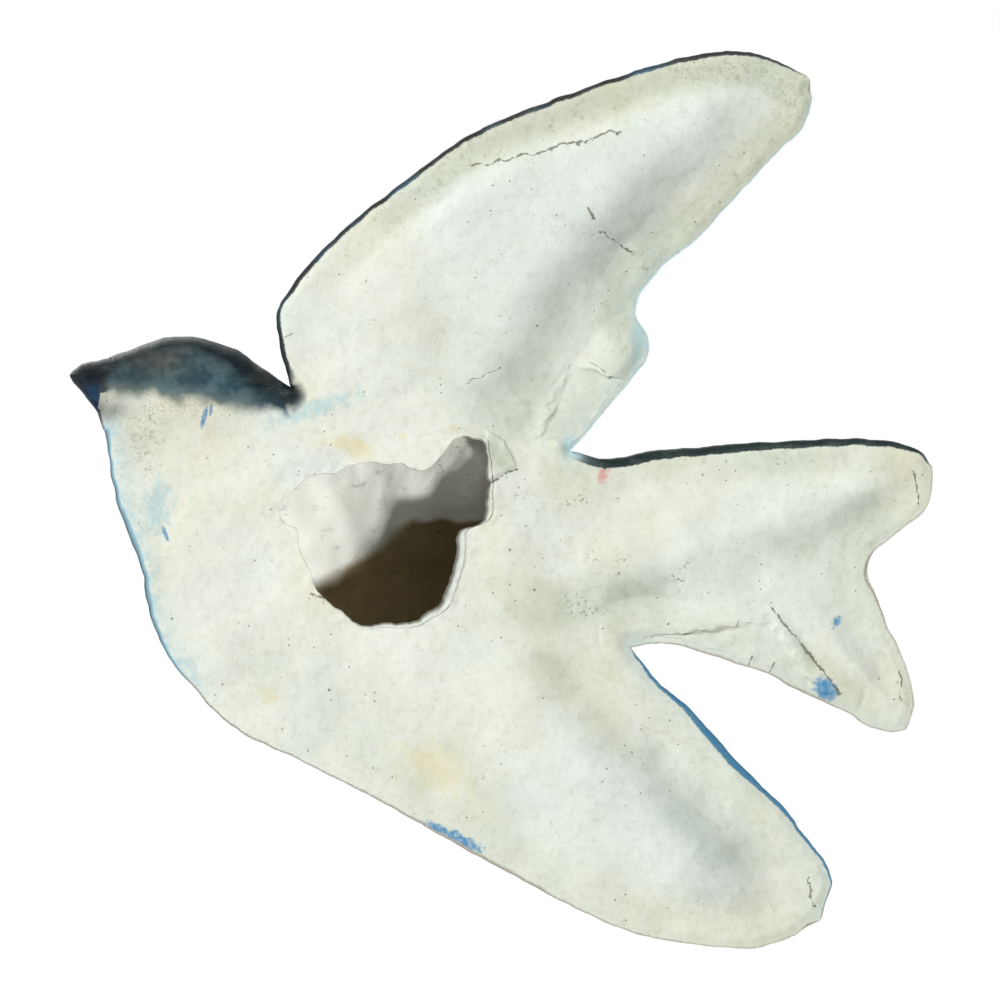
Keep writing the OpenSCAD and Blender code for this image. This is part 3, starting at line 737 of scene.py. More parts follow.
def body_loop():
    """Loop round the body: along the head, the upper wing, the tail, the lower wing and the breast.
    Each run has the same points as the piece that it meets."""
    def steps(k):
        return np.linspace(0, 1, RUNS[k] + 1)[:-1]
    wing_steps = crowded(WING_COLS, 0.85)
    zero = np.zeros(WING_COLS)
    head_run = mix(np.array(THROAT), np.array(NECK, float), steps(0)[:, None])
    upper = wing_place(UPPER_LEAD, UPPER_TRAIL, UPPER_BOW, zero, wing_steps[:-1])
    tail_run = mix(np.array(UPPER_NOTCH, float), np.array(LOWER_NOTCH, float), steps(2)[:, None])
    lower = wing_place(LOWER_LEAD, LOWER_TRAIL, LOWER_BOW, zero, wing_steps[:0:-1])
    return np.concatenate([head_run, upper, tail_run, lower, along(BREAST_EDGE, steps(4))])


def hole_loop():
    """Loop round the hole with a point for each point of the body's loop, its edge broken by small
    random bites."""
    t = np.concatenate([np.linspace(HOLE_STOPS[k], HOLE_STOPS[k + 1], RUNS[k] + 1)[:-1] for k in range(5)])
    return around(HOLE_EDGE, t)


def bitten(q, amount, seed):
    """q moved towards or away from the hole's centre by a random field, as a broken edge."""
    v = q - HOLE_CENTRE
    v = v / np.linalg.norm(v, axis=-1, keepdims=True)
    bite = ripple(q, 7, seed) + ripple(q, 2.2, seed + 1) * 0.3
    return q + v * (bite * amount)[..., None]


def bevelled(q):
    """The hole's edge on the wall's side: wider than inside, most of all on the right."""
    v = q - HOLE_CENTRE
    v = v / np.linalg.norm(v, axis=-1, keepdims=True)
    return q + v * (0.3 + BEVEL * np.maximum(0, v @ np.array([-0.92, -0.39])))[..., None]


def on_breast(n):
    """Which points of the body's loop lie on the outline: the last run."""
    return np.arange(n) >= sum(RUNS[:4])


FLAKE = [[-4.6, 0.2], [-9.5, -2.2], [-12.6, -9.0], [-4.6, -13.2]]


def flake_depth(q):
    """Depth of the flake that broke off beside the notch: 1 inside a four-sided patch and 0 outside,
    from the distance to each of its sides."""
    corners = np.array(FLAKE)
    inside = np.full(q.shape[:-1], 9.0)
    for a, b in zip(corners, np.roll(corners, -1, 0)):
        along_side = (b - a) / np.linalg.norm(b - a)
        inside = np.minimum(inside, (q[..., 1] - a[1]) * along_side[0] - (q[..., 0] - a[0]) * along_side[1])
    return smooth(np.where(inside > 8, 0, inside) / 0.7 + 0.2)


def back_skin():
    """The skin that closes the back: rings from the body's loop in to the hole's broken edge on the
    wall's side, over the edge, and out again on the inner side."""
    outer_loop = body_loop()
    n = len(outer_loop)
    inner_edge = bitten(hole_loop(), 0.3, 41)
    outer_edge = bitten(bevelled(hole_loop()), 0.16, 41)
    t = crowded(SKIN_RINGS, 0.6)[:, None, None]
    q = mix(outer_loop, outer_edge, t)
    away, strip = edge_distances(q)
    inset = away["outline"]
    inset[0][on_breast(n)] = 0
    height = back_height(q, inset, strip) + 0.45 * flake_depth(q)
    height = height + bell((1 - t[..., 0]) * 16) * 0.07 * (1 + ripple(q, 4, 45))
    across = np.linspace(0, 1, EDGE_RINGS + 1)[1:-1, None, None]
    rim_q = mix(outer_edge, inner_edge, across)
    ledge = height[-1] + 0.3 * smooth(across[..., 0] * 7)
    rim_h = mix(ledge, SKIN, across[..., 0] ** 6) + ripple(rim_q, 2.5, 47) * 0.05
    under = np.linspace(1, 0, UNDER_RINGS + 1)[:, None, None]
    under_q = mix(outer_loop, inner_edge, under)
    under_h = np.full(under_q.shape[:-1], SKIN)
    layers = [(q, height, away, strip)]
    for part, level in ((rim_q, rim_h), (under_q, under_h)):
        far, wide = edge_distances(part)
        layers.append((part, level, far, wide * 0))
    points = np.concatenate([solid_points(wobble(p), h) for p, h, _, _ in layers])
    m = sum(len(p) for p, _, _, _ in layers)
    quads = np.concatenate([grid_quads(m, n, wrap=True),
                            np.stack([(m - 1) * n + np.arange(n), (m - 1) * n + (np.arange(n) + 1) % n,
                                      (np.arange(n) + 1) % n, np.arange(n)], -1)])
    quads, tris = outward(points, quads, NO_TRIANGLES)
    sides = [layer_values(p, far, wide, False, h * 0, h * 0, h * 0) for p, h, far, wide in layers]
    # The hole's broken rim and the skin's inner side: no paint, and a little blue-grey painted shade
    for k in (1, 2):
        sides[k][0]["rim"][:] = -6
        sides[k][0]["cool"][:] = 0.3
    return make_mesh("back_skin_cast", points, quads, tris, *flat_set(sides))


def breast_shell():
    """The hollow breast: rings of the moulded front in to the middle, rings of the hollow out from the
    middle to its mouth, and the foot that stands on the skin."""
    outer_loop = body_loop()
    n = len(outer_loop)
    t = (1 - crowded(FRONT_RINGS, 0.7) * 0.995)[:, None, None]
    q = mix(MIDDLE, outer_loop, t)
    away, strip = edge_distances(q)
    inset = away["outline"]
    inset[0][on_breast(n)] = 0
    relief, groove = body_scales(q)
    plain = front_height(q, inset)
    reach = smooth((plain - 17) / 6) * smooth(inset / 8)
    front = plain + relief * reach
    mouth = mix(outer_loop, bevelled(hole_loop()), 0.3)
    r = np.linspace(0.005, 1, HOLLOW_RINGS)[:, None, None] ** 0.8
    p = mix(MIDDLE, mouth, r)
    far, wide = edge_distances(p)
    kept = 1
    for centre, share, width in RISES:
        kept = kept - share * bell(np.linalg.norm(p - np.array(centre), axis=-1) / width)
    depth = np.maximum(0, (front_height(p, far["outline"]) - WALL - SKIN) * kept)
    lumps = (0.4 * ripple(p, 15, 51) + 0.1 * ripple(p, 6, 52)) * smooth((1 - r[..., 0]) * 4)
    hollow = SKIN + depth * rounded(np.linalg.norm(p - mouth, axis=-1) / 9) + lumps
    foot = outer_loop[None]
    gap, none = edge_distances(foot)
    points = np.concatenate([solid_points(wobble(q), front), solid_points(wobble(p), hollow),
                             solid_points(wobble(foot), np.full((1, n), SKIN))])
    a, b = len(q), len(p)
    ring = np.arange(n)
    turn = (ring + 1) % n
    poles = np.array([[MIDDLE[0], -front[-1].mean(), MIDDLE[1]], [MIDDLE[0], -hollow[0].mean(), MIDDLE[1]]])
    points = np.concatenate([points, poles])
    total = (a + b + 1) * n
    quads = np.concatenate([grid_quads(a, n, wrap=True), grid_quads(b, n, a * n, wrap=True),
                            grid_quads(2, n, (a + b - 1) * n, wrap=True),
                            np.stack([(a + b) * n + ring, (a + b) * n + turn, turn, ring], -1)])
    tris = np.concatenate([np.stack([(a - 1) * n + ring, (a - 1) * n + turn, ring * 0 + total], -1),
                           np.stack([a * n + turn, a * n + ring, ring * 0 + total + 1], -1)])
    quads, tris = outward(points, quads, tris)
    sides = [layer_values(q, away, strip, True, relief * reach, groove * reach, relief * 0),
             layer_values(p, far, wide, False, hollow * 0, hollow * 0, hollow * 0),
             layer_values(foot, gap, none, False, none * 0, none * 0, none * 0)]
    sides[1][0]["rim"][:] = -6
    sides[1][0]["front"][:] = -1
    values, tint = flat_set(sides)
    values = {k: np.append(v, [v[(a - 1) * n], v[a * n]]) for k, v in values.items()}
    tint = np.concatenate([tint, tint[[(a - 1) * n, a * n]]])
    return make_mesh("breast_shell_cast", points, quads, tris, values, tint)


WING_SMEAR_IN = [[-14.5, -3.5], [-18.5, 1.5], [-21.2, 9.2], [-23.2, 14.2], [-24.5, 17.2]]
WING_SMEAR_OUT = [[-25.7, -4.6], [-30.8, 1.4], [-34.9, 6.4], [-38.0, 9.9], [-40.0, 12.8]]
TAIL_SMEAR_IN = [[-43.5, -51.6], [-50, -50.4], [-57, -49.6], [-65.7, -47.6], [-71, -46.6], [-76.0, -46.2]]
TAIL_SMEAR_OUT = [[-43.4, -52.9], [-53, -53.1], [-63, -55.8], [-73, -59.3], [-81, -62.9], [-88.5, -66.4]]


def smear(name, inner, outer, seed):
    """A smear of plaster between two lines: its underside is the casting's back, its top lies near the
    wall's plane, and it thins out at a broken edge."""
    t, u = np.meshgrid(crowded(SMEAR_ROWS, 0.5), crowded(SMEAR_COLS, 0.7), indexing="ij")
    q = mix(along(inner, t), along(outer, t), u[..., None])
    ragged = bell(t * 9) + bell((1 - t) * 9) + bell(u * 9)
    q = q + np.stack([ripple(q, 3.5, seed), ripple(q, 3.5, seed + 1)], -1) * (ragged * 0.5)[..., None]
    away, strip = edge_distances(q)
    bed = back_height(q, away["outline"], strip)
    inner_side = u * 5 + 0.1 * ripple(q, 4, seed + 3)
    edge = smooth(np.minimum.reduce([t * 9, (1 - t) * 9, inner_side, (1 - u) * 8]))
    level = np.minimum(bed - 0.3, 0.12 + 0.12 * ripple(q, 7, seed + 2))
    top = mix(bed - 0.05, np.maximum(0.02, level), edge)
    placed = wobble(q)
    points = np.concatenate([solid_points(placed, bed + 0.02), solid_points(placed, top)])
    quads, tris = outward(points, slab_quads(*t.shape), NO_TRIANGLES)
    side = layer_values(q, away, strip * 0.6, False, t * 0, t * 0, t * 0)
    return make_mesh(name, points, quads, tris, *flat_set([side, side]))


class Tree:
    """Short ways to add nodes to a node tree."""

    def __init__(self, tree):
        self.tree = tree

    def add(self, kind, **settings):
        """A node of that kind with those settings."""
        node = self.tree.nodes.new(kind)
        for key, value in settings.items():
            setattr(node, key, value)
        return node

    def put(self, socket, value):
        """Joins a socket to another, or sets it to a number, vector or colour."""
        if isinstance(value, bpy.types.NodeSocket):
            self.tree.links.new(value, socket)
        elif socket.type == "RGBA" and len(value) == 3:
            socket.default_value = (*value, 1.0)
        else:
            socket.default_value = value

    def math(self, operation, *values, clamp=False):
        """A Math node on up to three values."""
        node = self.add("ShaderNodeMath", operation=operation, use_clamp=clamp)
        for socket, value in zip(node.inputs, values):
            self.put(socket, value)
        return node.outputs[0]

    def times(self, a, b):
        """The product of two numbers."""
        return self.math("MULTIPLY", a, b)

    def plus(self, a, b):
        """The sum of two numbers."""
        return self.math("ADD", a, b)

    def minus(self, a, b):
        """The difference of two numbers."""
        return self.math("SUBTRACT", a, b)

    def larger(self, a, b):
        """The larger of two numbers."""
        return self.math("MAXIMUM", a, b)

    def vector(self, operation, *values):
        """A Vector Math node. Its number result is used for a length or a dot product."""
        node = self.add("ShaderNodeVectorMath", operation=operation)
        sockets = [node.inputs[0], node.inputs["Scale" if operation == "SCALE" else 1]]
        for socket, value in zip(sockets, values):
            self.put(socket, value)
        return node.outputs["Value" if operation in ("LENGTH", "DOT_PRODUCT", "DISTANCE") else "Vector"]

    def ramp(self, value, low, high, out_low=0.0, out_high=1.0):
        """A smooth step of value from low to high."""
        node = self.add("ShaderNodeMapRange", interpolation_type="SMOOTHSTEP")
        keys = ("Value", "From Min", "From Max", "To Min", "To Max")
        for key, number in zip(keys, (value, low, high, out_low, out_high)):
            self.put(node.inputs[key], number)
        return node.outputs["Result"]

    def blend(self, factor, under, over, mode="MIX"):
        """A Mix node on colours."""
        node = self.add("ShaderNodeMix", data_type="RGBA", blend_type=mode)
        self.put(node.inputs[0], factor)
        self.put(node.inputs[6], under)
        self.put(node.inputs[7], over)
        return node.outputs[2]

    def noise(self, place, scale, detail=3.0, rough=0.5, out="Fac"):
        """A Noise texture at scale per millimetre."""
        node = self.add("ShaderNodeTexNoise")
        self.put(node.inputs["Vector"], place)
        self.put(node.inputs["Scale"], scale)
        self.put(node.inputs["Detail"], detail)
        self.put(node.inputs["Roughness"], rough)
        return node.outputs[out]

    def group(self, tree, **values):
        """A node group placed with its own values."""
        node = self.add("ShaderNodeGroup", node_tree=tree)
        for key, value in values.items():
            self.put(node.inputs[key.replace("_", " ")], value)
        return node.outputs


def new_group(name, inputs, outputs):
    """An empty node group with named inputs, each a number with its default, "Vector" or "Color", and
    named outputs, each with its kind."""
    tree = bpy.data.node_groups.new(name, "ShaderNodeTree")
    for key, value in inputs.items():
        kind = value if isinstance(value, str) else "Float"
        socket = tree.interface.new_socket(name=key, in_out="INPUT", socket_type=f"NodeSocket{kind}")
        if kind == "Float":
            socket.default_value = value
    for key, kind in outputs.items():
        tree.interface.new_socket(name=key, in_out="OUTPUT", socket_type=f"NodeSocket{kind}")
    build = Tree(tree)
    return tree, build, build.add("NodeGroupInput").outputs, build.add("NodeGroupOutput").inputs


def pinhole_group():
    """Air holes: round dark spots at random cells, of random size, on part of the cells."""
    inputs = {"Place": "Vector", "Spacing": 3.0, "Radius": 0.3, "Share": 0.5}
    tree, b, given, out = new_group("Pinholes", inputs, {"Mask": "Float"})
    cells = b.add("ShaderNodeTexVoronoi", feature="F1")
    warp = b.vector("SCALE", b.noise(given["Place"], 1.1, out="Color"), 0.5)
    b.put(cells.inputs["Vector"], b.vector("ADD", given["Place"], warp))
    b.put(cells.inputs["Scale"], b.math("DIVIDE", 1.0, given["Spacing"]))
    parts = b.add("ShaderNodeSeparateColor")
    b.put(parts.inputs[0], cells.outputs["Color"])
    radius = b.times(given["Radius"], b.math("MULTIPLY_ADD", parts.outputs[1], 0.9, 0.35))
    gap = b.times(cells.outputs["Distance"], given["Spacing"])
    spot = b.ramp(b.math("DIVIDE", gap, radius), 1.15, 0.6)
    chosen = b.math("LESS_THAN", parts.outputs[0], given["Share"])
    b.put(out["Mask"], b.times(spot, chosen))
    return tree


def hairline_group():
    """A fine crack: near a straight line between two points, read at a place shaken by noise, and
    broken up along its length."""
    inputs = {"Place": "Vector", "Start": "Vector", "End": "Vector", "Width": 0.2, "Wander": 2.0}
    tree, b, given, out = new_group("Hairline", inputs, {"Mask": "Float"})
    shake = b.vector("SUBTRACT", b.noise(given["Place"], 0.22, 4.0, 0.6, "Color"), (0.5, 0.5, 0.5))
    shaken = b.vector("ADD", given["Place"], b.vector("SCALE", shake, given["Wander"]))
    place = b.vector("MULTIPLY", shaken, (1.0, 0.0, 1.0))
    line = b.vector("SUBTRACT", given["End"], given["Start"])
    reach = b.vector("SUBTRACT", place, given["Start"])
    passed, whole = b.vector("DOT_PRODUCT", reach, line), b.vector("DOT_PRODUCT", line, line)
    share = b.math("DIVIDE", passed, whole, clamp=True)
    gap = b.vector("LENGTH", b.vector("SUBTRACT", reach, b.vector("SCALE", line, share)))
    thin = b.times(given["Width"], b.ramp(b.noise(given["Place"], 0.9), 0.36, 0.6, 0.15, 1.3))
    b.put(out["Mask"], b.ramp(b.math("DIVIDE", gap, thin), 1.3, 0.4))
    return tree


def dab_group():
    """A dab: 1 within an oval about a centre on the back, with an edge torn by noise."""
    inputs = {"Place": "Vector", "Centre": "Vector", "Size": "Vector", "Turn": 0.0, "Torn": 0.5, "Grain": 0.8,
              "Fade": 0.25}
    tree, b, given, out = new_group("Dab", inputs, {"Mask": "Float"})
    turned = b.add("ShaderNodeVectorRotate", rotation_type="Y_AXIS")
    b.put(turned.inputs["Vector"], b.vector("SUBTRACT", given["Place"], given["Centre"]))
    b.put(turned.inputs["Angle"], given["Turn"])
    away = b.vector("LENGTH", b.vector("DIVIDE", turned.outputs[0], given["Size"]))
    tear = b.times(b.minus(b.noise(given["Place"], given["Grain"], 4.0, 0.65), 0.5), given["Torn"])
    edge = b.plus(away, b.times(tear, 2.0))
    b.put(out["Mask"], b.ramp(edge, b.plus(1.0, given["Fade"]), b.minus(1.0, given["Fade"])))
    return tree


def plaster_group(pinholes):
    """Old casting plaster: off-white with cream and cool clouds, fine mottling, tan flecks and
    pinholes. Grime adds a grey painted shade and brown smudges of dirt, Dull a grey film in patches
    that is painted shade with some dust, and Cool a faint blue-grey painted shade."""
    inputs = {"Place": "Vector", "Grime": 0.0, "Dull": 0.0, "Cool": 0.0}
    outputs = {"Color": "Color", "Height": "Float", "Roughness": "Float"}
    tree, b, given, out = new_group("Old plaster", inputs, outputs)
    place = given["Place"]
    cloud = b.noise(place, 0.022, 4.0, 0.55)
    cool = b.noise(b.vector("ADD", place, (70, 0, 31)), 0.03, 3.0, 0.5)
    color = b.blend(b.ramp(cloud, 0.46, 0.72), srgb(236, 240, 228), srgb(235, 232, 210))
    color = b.blend(b.ramp(cool, 0.5, 0.72, 0.0, 0.7), color, srgb(231, 237, 231))
    # Cool: a faint blue-grey painted shade
    color = b.blend(b.times(given["Cool"], 0.85), color, srgb(227, 234, 229))
    mottle = b.noise(place, 0.55, 5.0, 0.7)
    color = b.blend(b.ramp(mottle, 0.45, 0.8, 0.0, 0.5), color, srgb(216, 214, 198), "MULTIPLY")
    spots = b.ramp(b.noise(place, 1.7, 3.0, 0.6), 0.63, 0.72)
    fleck = b.times(spots, b.ramp(b.noise(place, 0.05, 3.0), 0.5, 0.66))
    color = b.blend(b.times(fleck, 0.45), color, srgb(176, 164, 128))
    patchy = b.ramp(b.noise(place, 0.09, 5.0, 0.65), 0.25, 0.7, 0.45, 1.0)
    # Dull: painted shade with some dust, in patches
    color = b.blend(b.times(given["Dull"], patchy), color, srgb(207, 214, 208), "MULTIPLY")
    # Grime: a grey painted shade, then brown smudges of dirt
    color = b.blend(b.times(given["Grime"], 0.6), color, srgb(222, 224, 210), "MULTIPLY")
    smudge = b.times(b.ramp(b.noise(place, 0.35, 6.0, 0.75), 0.52, 0.72), given["Grime"])
    color = b.blend(b.times(smudge, 0.6), color, srgb(186, 180, 156), "MULTIPLY")
    density = b.ramp(b.noise(place, 0.035, 2.0), 0.42, 0.62, 0.1, 0.6)
    small = b.group(pinholes, Place=place, Spacing=2.1, Radius=0.2, Share=density)["Mask"]
    apart = b.vector("ADD", place, (11, 0, 5))
    large = b.group(pinholes, Place=apart, Spacing=6.5, Radius=0.36, Share=b.times(density, 0.55))["Mask"]
    hole = b.larger(small, large)
    color = b.blend(b.times(hole, 0.78), color, srgb(96, 92, 66))
    b.put(out["Color"], color)
    grain = b.plus(b.times(b.noise(place, 1.3, 6.0, 0.65), 0.35), b.times(b.noise(place, 4.5, 3.0), 0.08))
    b.put(out["Height"], b.minus(grain, b.times(hole, 0.5)))
    b.put(out["Roughness"], b.math("MULTIPLY_ADD", mottle, 0.12, 0.84, clamp=True))
    return tree


def paint_group():
    """Sprayed paint on plaster: the tint with spray mottling and a fine speckle, darker in grooves.
    Wear lays bare the plaster along high edges."""
    inputs = {"Place": "Vector", "Tint": "Color", "Groove": 0.0, "Relief": 0.0, "Barb": 0.0, "Inset": 9.0}
    outputs = {"Color": "Color", "Height": "Float", "Roughness": "Float", "Bare": "Float"}
    tree, b, given, out = new_group("Sprayed paint", inputs, outputs)
    place = given["Place"]
    mist = b.noise(place, 0.12, 4.0, 0.6)
    speck = b.noise(place, 2.6, 2.0, 0.6)
    color = b.blend(b.ramp(mist, 0.35, 0.7, 0.0, 0.35), given["Tint"], srgb(214, 226, 230), "MULTIPLY")
    color = b.blend(b.ramp(speck, 0.55, 0.8, 0.0, 0.14), color, srgb(190, 200, 200))
    drawn_out = b.vector("MULTIPLY", place, (0.6, 1.0, 1.2))
    smoke = b.ramp(b.noise(drawn_out, 0.28, 5.0, 0.68), 0.42, 0.72, 0.0, 0.24)
    color = b.blend(smoke, color, srgb(128, 142, 138))
    color = b.blend(b.times(given["Groove"], 0.36), color, srgb(40, 62, 72))
    ridge = b.minus(1.0, b.ramp(given["Inset"], 0.2, 1.6))
    chip = b.ramp(b.plus(b.noise(place, 0.7, 5.0, 0.7), b.times(ridge, 0.04)), 0.74, 0.77)
    high = b.times(b.minus(given["Relief"], given["Groove"]), 0.04)
    rub = b.ramp(b.plus(b.noise(place, 0.35, 5.0, 0.75), high), 0.7, 0.78, 0.0, 0.7)
    b.put(out["Bare"], b.larger(chip, rub))
    b.put(out["Color"], color)
    barbs = b.math("SINE", b.times(given["Barb"], 7.2))
    shown = b.math("GREATER_THAN", given["Barb"], 0.01)
    fine = b.times(b.times(barbs, shown), 0.1)
    b.put(out["Height"], b.plus(fine, b.times(b.noise(place, 1.4, 5.0, 0.6), 0.25)))
    b.put(out["Roughness"], b.ramp(speck, 0.3, 0.8, 0.55, 0.7))
    return tree


# Marks on the back, in millimetres: centre, half sizes, turn in radians, tear, grain, fade
BLUE_DABS = [(65.5, 3.4, 0.6, 2.6, 0.25, 0.7, 1.4, 0.3), (63.8, 5.2, 0.4, 1.6, 0.1, 0.8, 1.6, 0.3),
             (75.2, -25.6, 0.5, 2.0, -0.35, 0.9, 1.6, 0.3), (-89.5, -64.3, 3.2, 2.6, 0.7, 1.0, 0.8, 0.25),
             (-92.2, -47.8, 1.0, 1.5, 0.4, 1.3, 1.2, 0.4), (4.4, -100.9, 8.0, 1.7, 0.42, 1.2, 0.55, 0.3),
             (-64.0, -60.2, 1.2, 0.5, 0.3, 1.6, 1.2, 0.5)]
PALE_DABS = [(-25.6, -4.0, 1.8, 2.8, 0.2, 0.9, 0.8, 0.7), (-43.0, 24.0, 1.8, 7.0, 0.1, 1.6, 0.5, 0.7),
             (77.0, -19.0, 3.0, 6.0, 0.15, 1.8, 0.5, 0.7), (38.0, 5.5, 10.0, 2.0, -0.3, 1.6, 0.5, 0.7)]
RED_DABS = [(-33.8, -11.0, 1.3, 1.9, 0.2, 1.6, 1.3, 0.5), (-43.4, 15.5, 0.5, 1.2, 0.0, 1.4, 1.6, 0.5)]
STAINS = [(27.0, -5.0, 3.6, 2.2, 0.35, 1.2, 0.5, 0.6), (30.0, -3.0, 5.5, 1.8, 0.1, 1.4, 0.5, 0.8),
          (16.0, -1.5, 1.2, 0.9, 0.0, 1.2, 1.2, 0.5),
          (3.5, 0.5, 1.3, 1.0, 0.0, 1.0, 1.0, 0.5), (49.5, -66.0, 3.0, 1.8, 0.3, 1.6, 0.6, 0.5),
          (8.0, -84.0, 9.0, 5.0, 0.5, 1.6, 0.3, 0.8)]
TAN_DABS = [(80.5, -2.5, 5.0, 7.5, 0.35, 1.8, 0.35, 0.5), (70.0, 6.0, 16.0, 2.6, -0.05, 1.6, 0.4, 0.6),
            (-62.0, 90.0, 14.0, 3.0, 0.05, 1.8, 0.4, 0.6), (-80.0, 83.0, 4.0, 6.0, -0.5, 1.6, 0.4, 0.6),
            (-4.0, 76.0, 22.0, 3.0, -0.5, 1.8, 0.35, 0.6)]
PIT_DABS = [(-31.4, -31.0, 1.5, 1.6, 0.3, 1.6, 0.6, 0.5), (-38.6, -33.0, 1.6, 4.0, 0.1, 1.8, 0.5, 0.5),
            (-53.3, -36.0, 1.7, 4.5, 0.1, 1.8, 0.5, 0.5), (-15.0, -17.6, 2.6, 1.4, 0.3, 1.8, 0.6, 0.5),
            (-28.5, -17.2, 3.4, 1.6, -0.1, 1.8, 0.6, 0.5), (-37.0, -16.6, 1.4, 1.2, 0.0, 1.6, 0.6, 0.5),
            (-28.0, -44.0, 5.0, 2.4, 0.3, 1.8, 0.5, 0.5), (38.0, -42.5, 4.5, 0.9, 0.25, 1.6, 0.8, 0.5)]
# Fine cracks: start, end, width, wander
HAIRLINES = [((-1.2, 66), (-17, 69.5), 0.2, 5.0), ((-17, 69.5), (-38, 75), 0.24, 5.0),
             ((-30, 56), (-32, 53), 0.24, 3.0), ((-33, 50), (-41, 44), 0.2, 4.0),
             ((-4.6, -13.4), (-12.6, -9.4), 0.24, 2.0),
             ((-76, -44), (-84.5, -54.5), 0.28, 2.0), ((-84.5, -54.5), (-93, -65.5), 0.34, 2.0),
             ((-71, -56), (-69.6, -59.5), 0.16, 1.6), ((-77, -57.5), (-75.4, -60.5), 0.16, 1.6),
             ((-85.5, -111), (-86.5, -119), 0.16, 5.0), ((-111.5, -10), (-112.5, -19), 0.18, 4.0),
             ((-107.5, -60), (-108.5, -67), 0.18, 4.0),
             ((-30, 17.5), (-35, 14), 0.08, 3.0), ((56, 20), (44, 24), 0.12, 4.0),
             ((0, 12), (-8, 16), 0.12, 4.0), ((39, -40.5), (33, -42.2), 0.34, 2.0)]


def marks_group(dab, hairline):
    """Everything that happened to the back: stains, dabs of blue and red, and cracks."""
    inputs = {"Place": "Vector", "Color": "Color"}
    tree, b, given, out = new_group("Marks of the back", inputs, {"Color": "Color", "Crack": "Float"})
    place, color = given["Place"], given["Color"]
    speckle = b.ramp(b.noise(place, 1.5, 4.0, 0.7), 0.5, 0.66)
    pitting = b.ramp(b.noise(place, 1.1, 3.0, 0.6), 0.56, 0.66)
    streaks = b.ramp(b.noise(place, 0.8, 4.0, 0.7), 0.35, 0.6, 0.6, 1.0)
    for group, shade, strength, broken in (
            (STAINS, srgb(232, 218, 158), 0.4, 1.0), (TAN_DABS, srgb(158, 148, 114), 0.6, speckle),
            (PIT_DABS, srgb(116, 118, 106), 0.75, pitting), (PALE_DABS, srgb(160, 204, 216), 0.6, streaks),
            (BLUE_DABS, srgb(48, 134, 184), 0.95, streaks), (RED_DABS, srgb(216, 128, 118), 0.7, streaks)):
        for x, z, rx, rz, turn, torn, grain, fade in group:
            mask = b.group(dab, Place=place, Centre=(x, 0.0, z), Size=(rx, 6.0, rz), Turn=turn, Torn=torn,
                           Grain=grain, Fade=fade)["Mask"]
            color = b.blend(b.times(mask, b.times(strength, broken)), color, shade)
    crack = None
    for start, end, width, wander in HAIRLINES:
        mask = b.group(hairline, Place=place, Start=(start[0], 0.0, start[1]), End=(end[0], 0.0, end[1]),
                       Width=width, Wander=wander)["Mask"]
        crack = mask if crack is None else b.larger(crack, mask)
    color = b.blend(b.times(crack, 0.75), color, srgb(92, 84, 62))
    b.put(out["Color"], color)
    b.put(out["Crack"], crack)
    return tree


